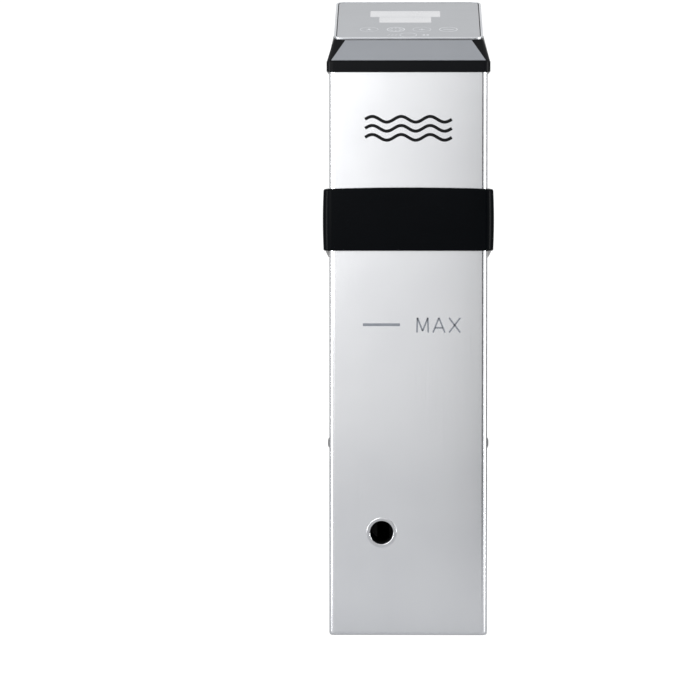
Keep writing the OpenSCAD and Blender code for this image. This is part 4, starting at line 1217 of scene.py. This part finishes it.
def make_probe_and_pins():
    low, high = node_box("temperature_probe")
    radius = 2
    neck, neck_r = 118, 1.75
    bends = [math.radians(degrees) for degrees in range(0, 91, 15)]
    tip = [(radius * math.sin(bend), low.z + radius - radius * math.cos(bend)) for bend in bends]
    sheath = [(radius, neck), (neck_r, neck + 0.6), (neck_r, neck + 3), (radius, neck + 3.6),
              (radius, high.z), (0, high.z)]
    turned_piece(tip + sheath, Matrix.Translation((PROBE_X, PROBE_Y, 0)), 28, False,
                 "temperature_probe_sheath", "housing", "frame_steel", BRIGHT_ROD, "temperature_probe")
    low, high = node_box("level_pins")
    bm = bmesh.new()
    for x, y in ((28, 30), (36, 24)):
        turned(bm, pin(1.5, low.z, high.z, 0.9, 0.3), Matrix.Translation((x, y, 0)), 24)
    piece(bm, "level_pins_ground", "housing", "frame_steel", BRIGHT_ROD, "level_pins")


def make_rotor():
    at = Matrix.Translation((SHAFT_X, 0, 0))
    low, high = node_box("drive_shaft")
    turned_piece(pin(3, low.z, high.z, 0.6, 0.6), at, 40, False,
                 "drive_shaft_ground", "rotor", "frame_steel", BRIGHT_ROD, "drive_shaft")
    low, high = node_box("impeller")
    bm = bmesh.new()
    hub = soften([(3.05, low.z), (6.5, low.z), (6.5, low.z + 12), (22, low.z + 12), (22, low.z + 14),
                  (7.5, low.z + 14), (5.5, high.z), (3.05, high.z)], [0.3, 0.6, 0.8, 0.5, 0.5, 0.8, 0.5, 0.3])
    turned(bm, hub, at, 72, loop=True)
    for blade in range(6):
        outline = []
        for edge in (0.75, -0.75):
            row = []
            for i in range(9):
                reach = 5.8 + 15.4 * i / 8
                turn = math.tau * blade / 6 - math.radians(38) * ((i / 8) ** 1.2)
                normal = turn + math.pi / 2
                row.append((reach * math.cos(turn) + edge * math.cos(normal),
                            reach * math.sin(turn) + edge * math.sin(normal)))
            outline += row if edge > 0 else list(reversed(row))
        prism(bm, outline, low.z + 0.1, low.z + 12.2, 0.2, at)
    piece(bm, "impeller_moulding", "rotor", "pump_plastic", PUMP_PLASTIC, "impeller")


def make_gaskets():
    low, high = node_box("sleeve_seal")
    bm = bmesh.new()
    wide = high.x - low.x
    lips = [(0, low.z + 0.3), (0.55, low.z + 0.75), (0, low.z + 1.2), (0, low.z + 1.8), (0.55, low.z + 2.25),
            (0, high.z - 0.3), (0.3, high.z), (1.9, high.z), (1.9, low.z), (0.3, low.z)]
    wall(bm, wide, high.y - low.y, 2.5, soften(lips, 0.12, steps=2))
    piece(bm, "sleeve_seal_lipped", "housing", "seal_silicone", RED_SILICONE, "sleeve_seal")


# ------------------------------------------------------------------ build

make_upper_casing()
make_sleeve()
make_base_cap()
make_outlet_ring()
make_side_bumpers()
make_level_mark()
make_wave_mark()
make_head()
make_front_facet()
make_panel_rim()
make_touch_cover()
make_display()
make_touch_marks()
make_collar()
make_clamp_bracket()
make_fixed_pad()
make_thread_insert()
make_pressure_pad()
make_spindle()
make_knob()
make_cable_gland()
make_vent_grille()
make_frame()
make_pump()
make_heater()
make_probe_and_pins()
make_rotor()
make_gaskets()

plate_low, plate_high = node_box("pump_plate")
make_screws("bracket_screws", 3.4, 2.4, 1.7, 13.0, (0, 0, 1),
            [(x, y, FLOOR_Z - 7.4) for x, y in BRACKET_HOLES])
make_screws("rod_screws", 2.9, 2.2, 1.5, 10.0, (0, 0, 1),
            [(x, y, plate_low.z - 2.2) for x, y in corners(*ROD_REACH)])
make_screws("pump_screws", 2.9, 2.2, 1.5, 5.0, (0, 0, -1),
            [(SHAFT_X + x, y, plate_high.z + 2.2) for x, y in corners(14.142, 14.142)])

# CAD solids that keep their shape take their finish here.
KEPT_FINISHES = {
    BRIGHT_ROD: ("motor_bearings",),
    SCREW_STEEL: ("board_screws", "motor_screws"),
    LAMINATED_STEEL: ("stator_core", "rotor_core"),
    ZINC_STEEL: ("motor_case",),
    CAST_ALUMINIUM: ("lower_end_bell", "upper_end_bell"),
    COPPER_WINDING: ("stator_coils",),
    SOLDER_LACQUER: ("control_board", "power_board"),
    EPOXY_CASES: ("power_components",),
    EXTRUDED_ALUMINIUM: ("heat_sink",),
    WHITE_MOULDING: ("led_module",),
    RIBBON_PVC: ("ribbon_cable",),
    RED_SILICONE: ("casing_gasket",),
    BLACK_RUBBER: ("shaft_seal",),
    PHENOLIC: ("bulkhead", "board_brackets"),
    TURNED_BRASS: ("shaft_bush",),
    HEAD_ABS: ("gland_nut", "cooling_fan"),
}
for finish, names in KEPT_FINISHES.items():
    for name in names:
        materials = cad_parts[name].data.materials
        materials.clear()
        materials.append(finish)

# ------------------------------------------------------------------ room, light and camera

CAMERA_AT = Vector((0.0, FRONT_Y - 2400, 279.5)) * MM
CAMERA_AIM = Vector((-35.0, FRONT_Y, 171.9)) * MM
LENS = 205.8


def flat_card(name, width, height, shade):
    """A flat card of the room, facing +Z and unseen by the camera; sizes are in metres"""
    bm = bmesh.new()
    signs = ((-1, -1), (1, -1), (1, 1), (-1, 1))
    bm.faces.new([bm.verts.new((x * width / 2, y * height / 2, 0)) for x, y in signs])
    card = as_object(bm, name)
    card.data.materials.append(shade)
    card.visible_camera = False
    return card


def make_floor():
    """A very wide pale floor that bounces light; the camera sees the white room through it, so a lowered
    sleeve stays in sight"""
    floor = flat_card("floor", 120, 120, FLOOR_PAPER)
    floor.location = (0, 0, -0.00002)


def add_area(name, place, target, width, height, radiance):
    """A softbox at a place, turned to its target and unseen by the camera; sizes are in metres"""
    lamp = bpy.data.lights.new(name, "AREA")
    lamp.shape = "RECTANGLE"
    lamp.size = width
    lamp.size_y = height
    lamp.energy = radiance * width * height * math.pi
    made = bpy.data.objects.new(name, lamp)
    made.location = place
    made.rotation_euler = (Vector(target) - Vector(place)).to_track_quat("-Z", "Y").to_euler()
    made.visible_camera = False
    bpy.context.scene.collection.objects.link(made)


def add_flag(name, place, target, width, height, shade):
    """A card that shows only in reflections, turned to its target; sizes are in metres"""
    card = flat_card(name, width, height, shade)
    card.location = place
    card.rotation_euler = (Vector(target) - Vector(place)).to_track_quat("Z", "Y").to_euler()
    card.visible_diffuse = False
    card.visible_shadow = False


def make_light():
    world = bpy.data.worlds.new("studio")
    world.use_nodes = True
    tree = world.node_tree
    tree.nodes.clear()
    back = add(tree, "ShaderNodeBackground", {"Color": (1, 1, 1, 1), "Strength": 1.1})
    add(tree, "ShaderNodeOutputWorld", {"Surface": back.outputs[0]})
    bpy.context.scene.world = world
    add_flag("front_right_flag", (0.17, -0.44, 0.06), (0.17, 0, 0.06), 0.2, 0.66, FELT)
    add_flag("left_rear_flag", (-0.85, 0.45, 0.3), (0, 0, 0.3), 0.5, 1.2, FELT)
    add_flag("right_rear_flag", (0.85, 0.45, 0.3), (0, 0, 0.3), 0.5, 1.2, FELT)
    # Painted shade: this grey card is seen only in reflections and darkens the floor that the steel mirrors
    # near its foot
    add_flag("reflected_shade_card", (0, 0, -0.00001), (0, 0, 1), 2.4, 2.4, REFLECTED_SHADE_CARD)
    add_area("left_softbox", (-0.255, -0.56, 0.46), (-0.06, 0, 0.32), 0.33, 0.52, 3.2)
    add_area("left_strip", (-0.84, -0.34, 0.24), (0, 0, 0.22), 0.15, 0.56, 20)
    add_area("right_strip", (0.84, -0.34, 0.24), (0, 0, 0.22), 0.15, 0.56, 20)


def make_camera():
    lens = bpy.data.cameras.new("camera")
    lens.lens = LENS
    lens.sensor_width = 36
    lens.clip_end = 200
    camera = bpy.data.objects.new("camera", lens)
    camera.location = CAMERA_AT
    camera.rotation_euler = (CAMERA_AIM - CAMERA_AT).to_track_quat("-Z", "Y").to_euler()
    bpy.context.scene.collection.objects.link(camera)
    bpy.context.scene.camera = camera


make_floor()
make_light()
make_camera()
bpy.context.scene.view_settings.view_transform = "Standard"
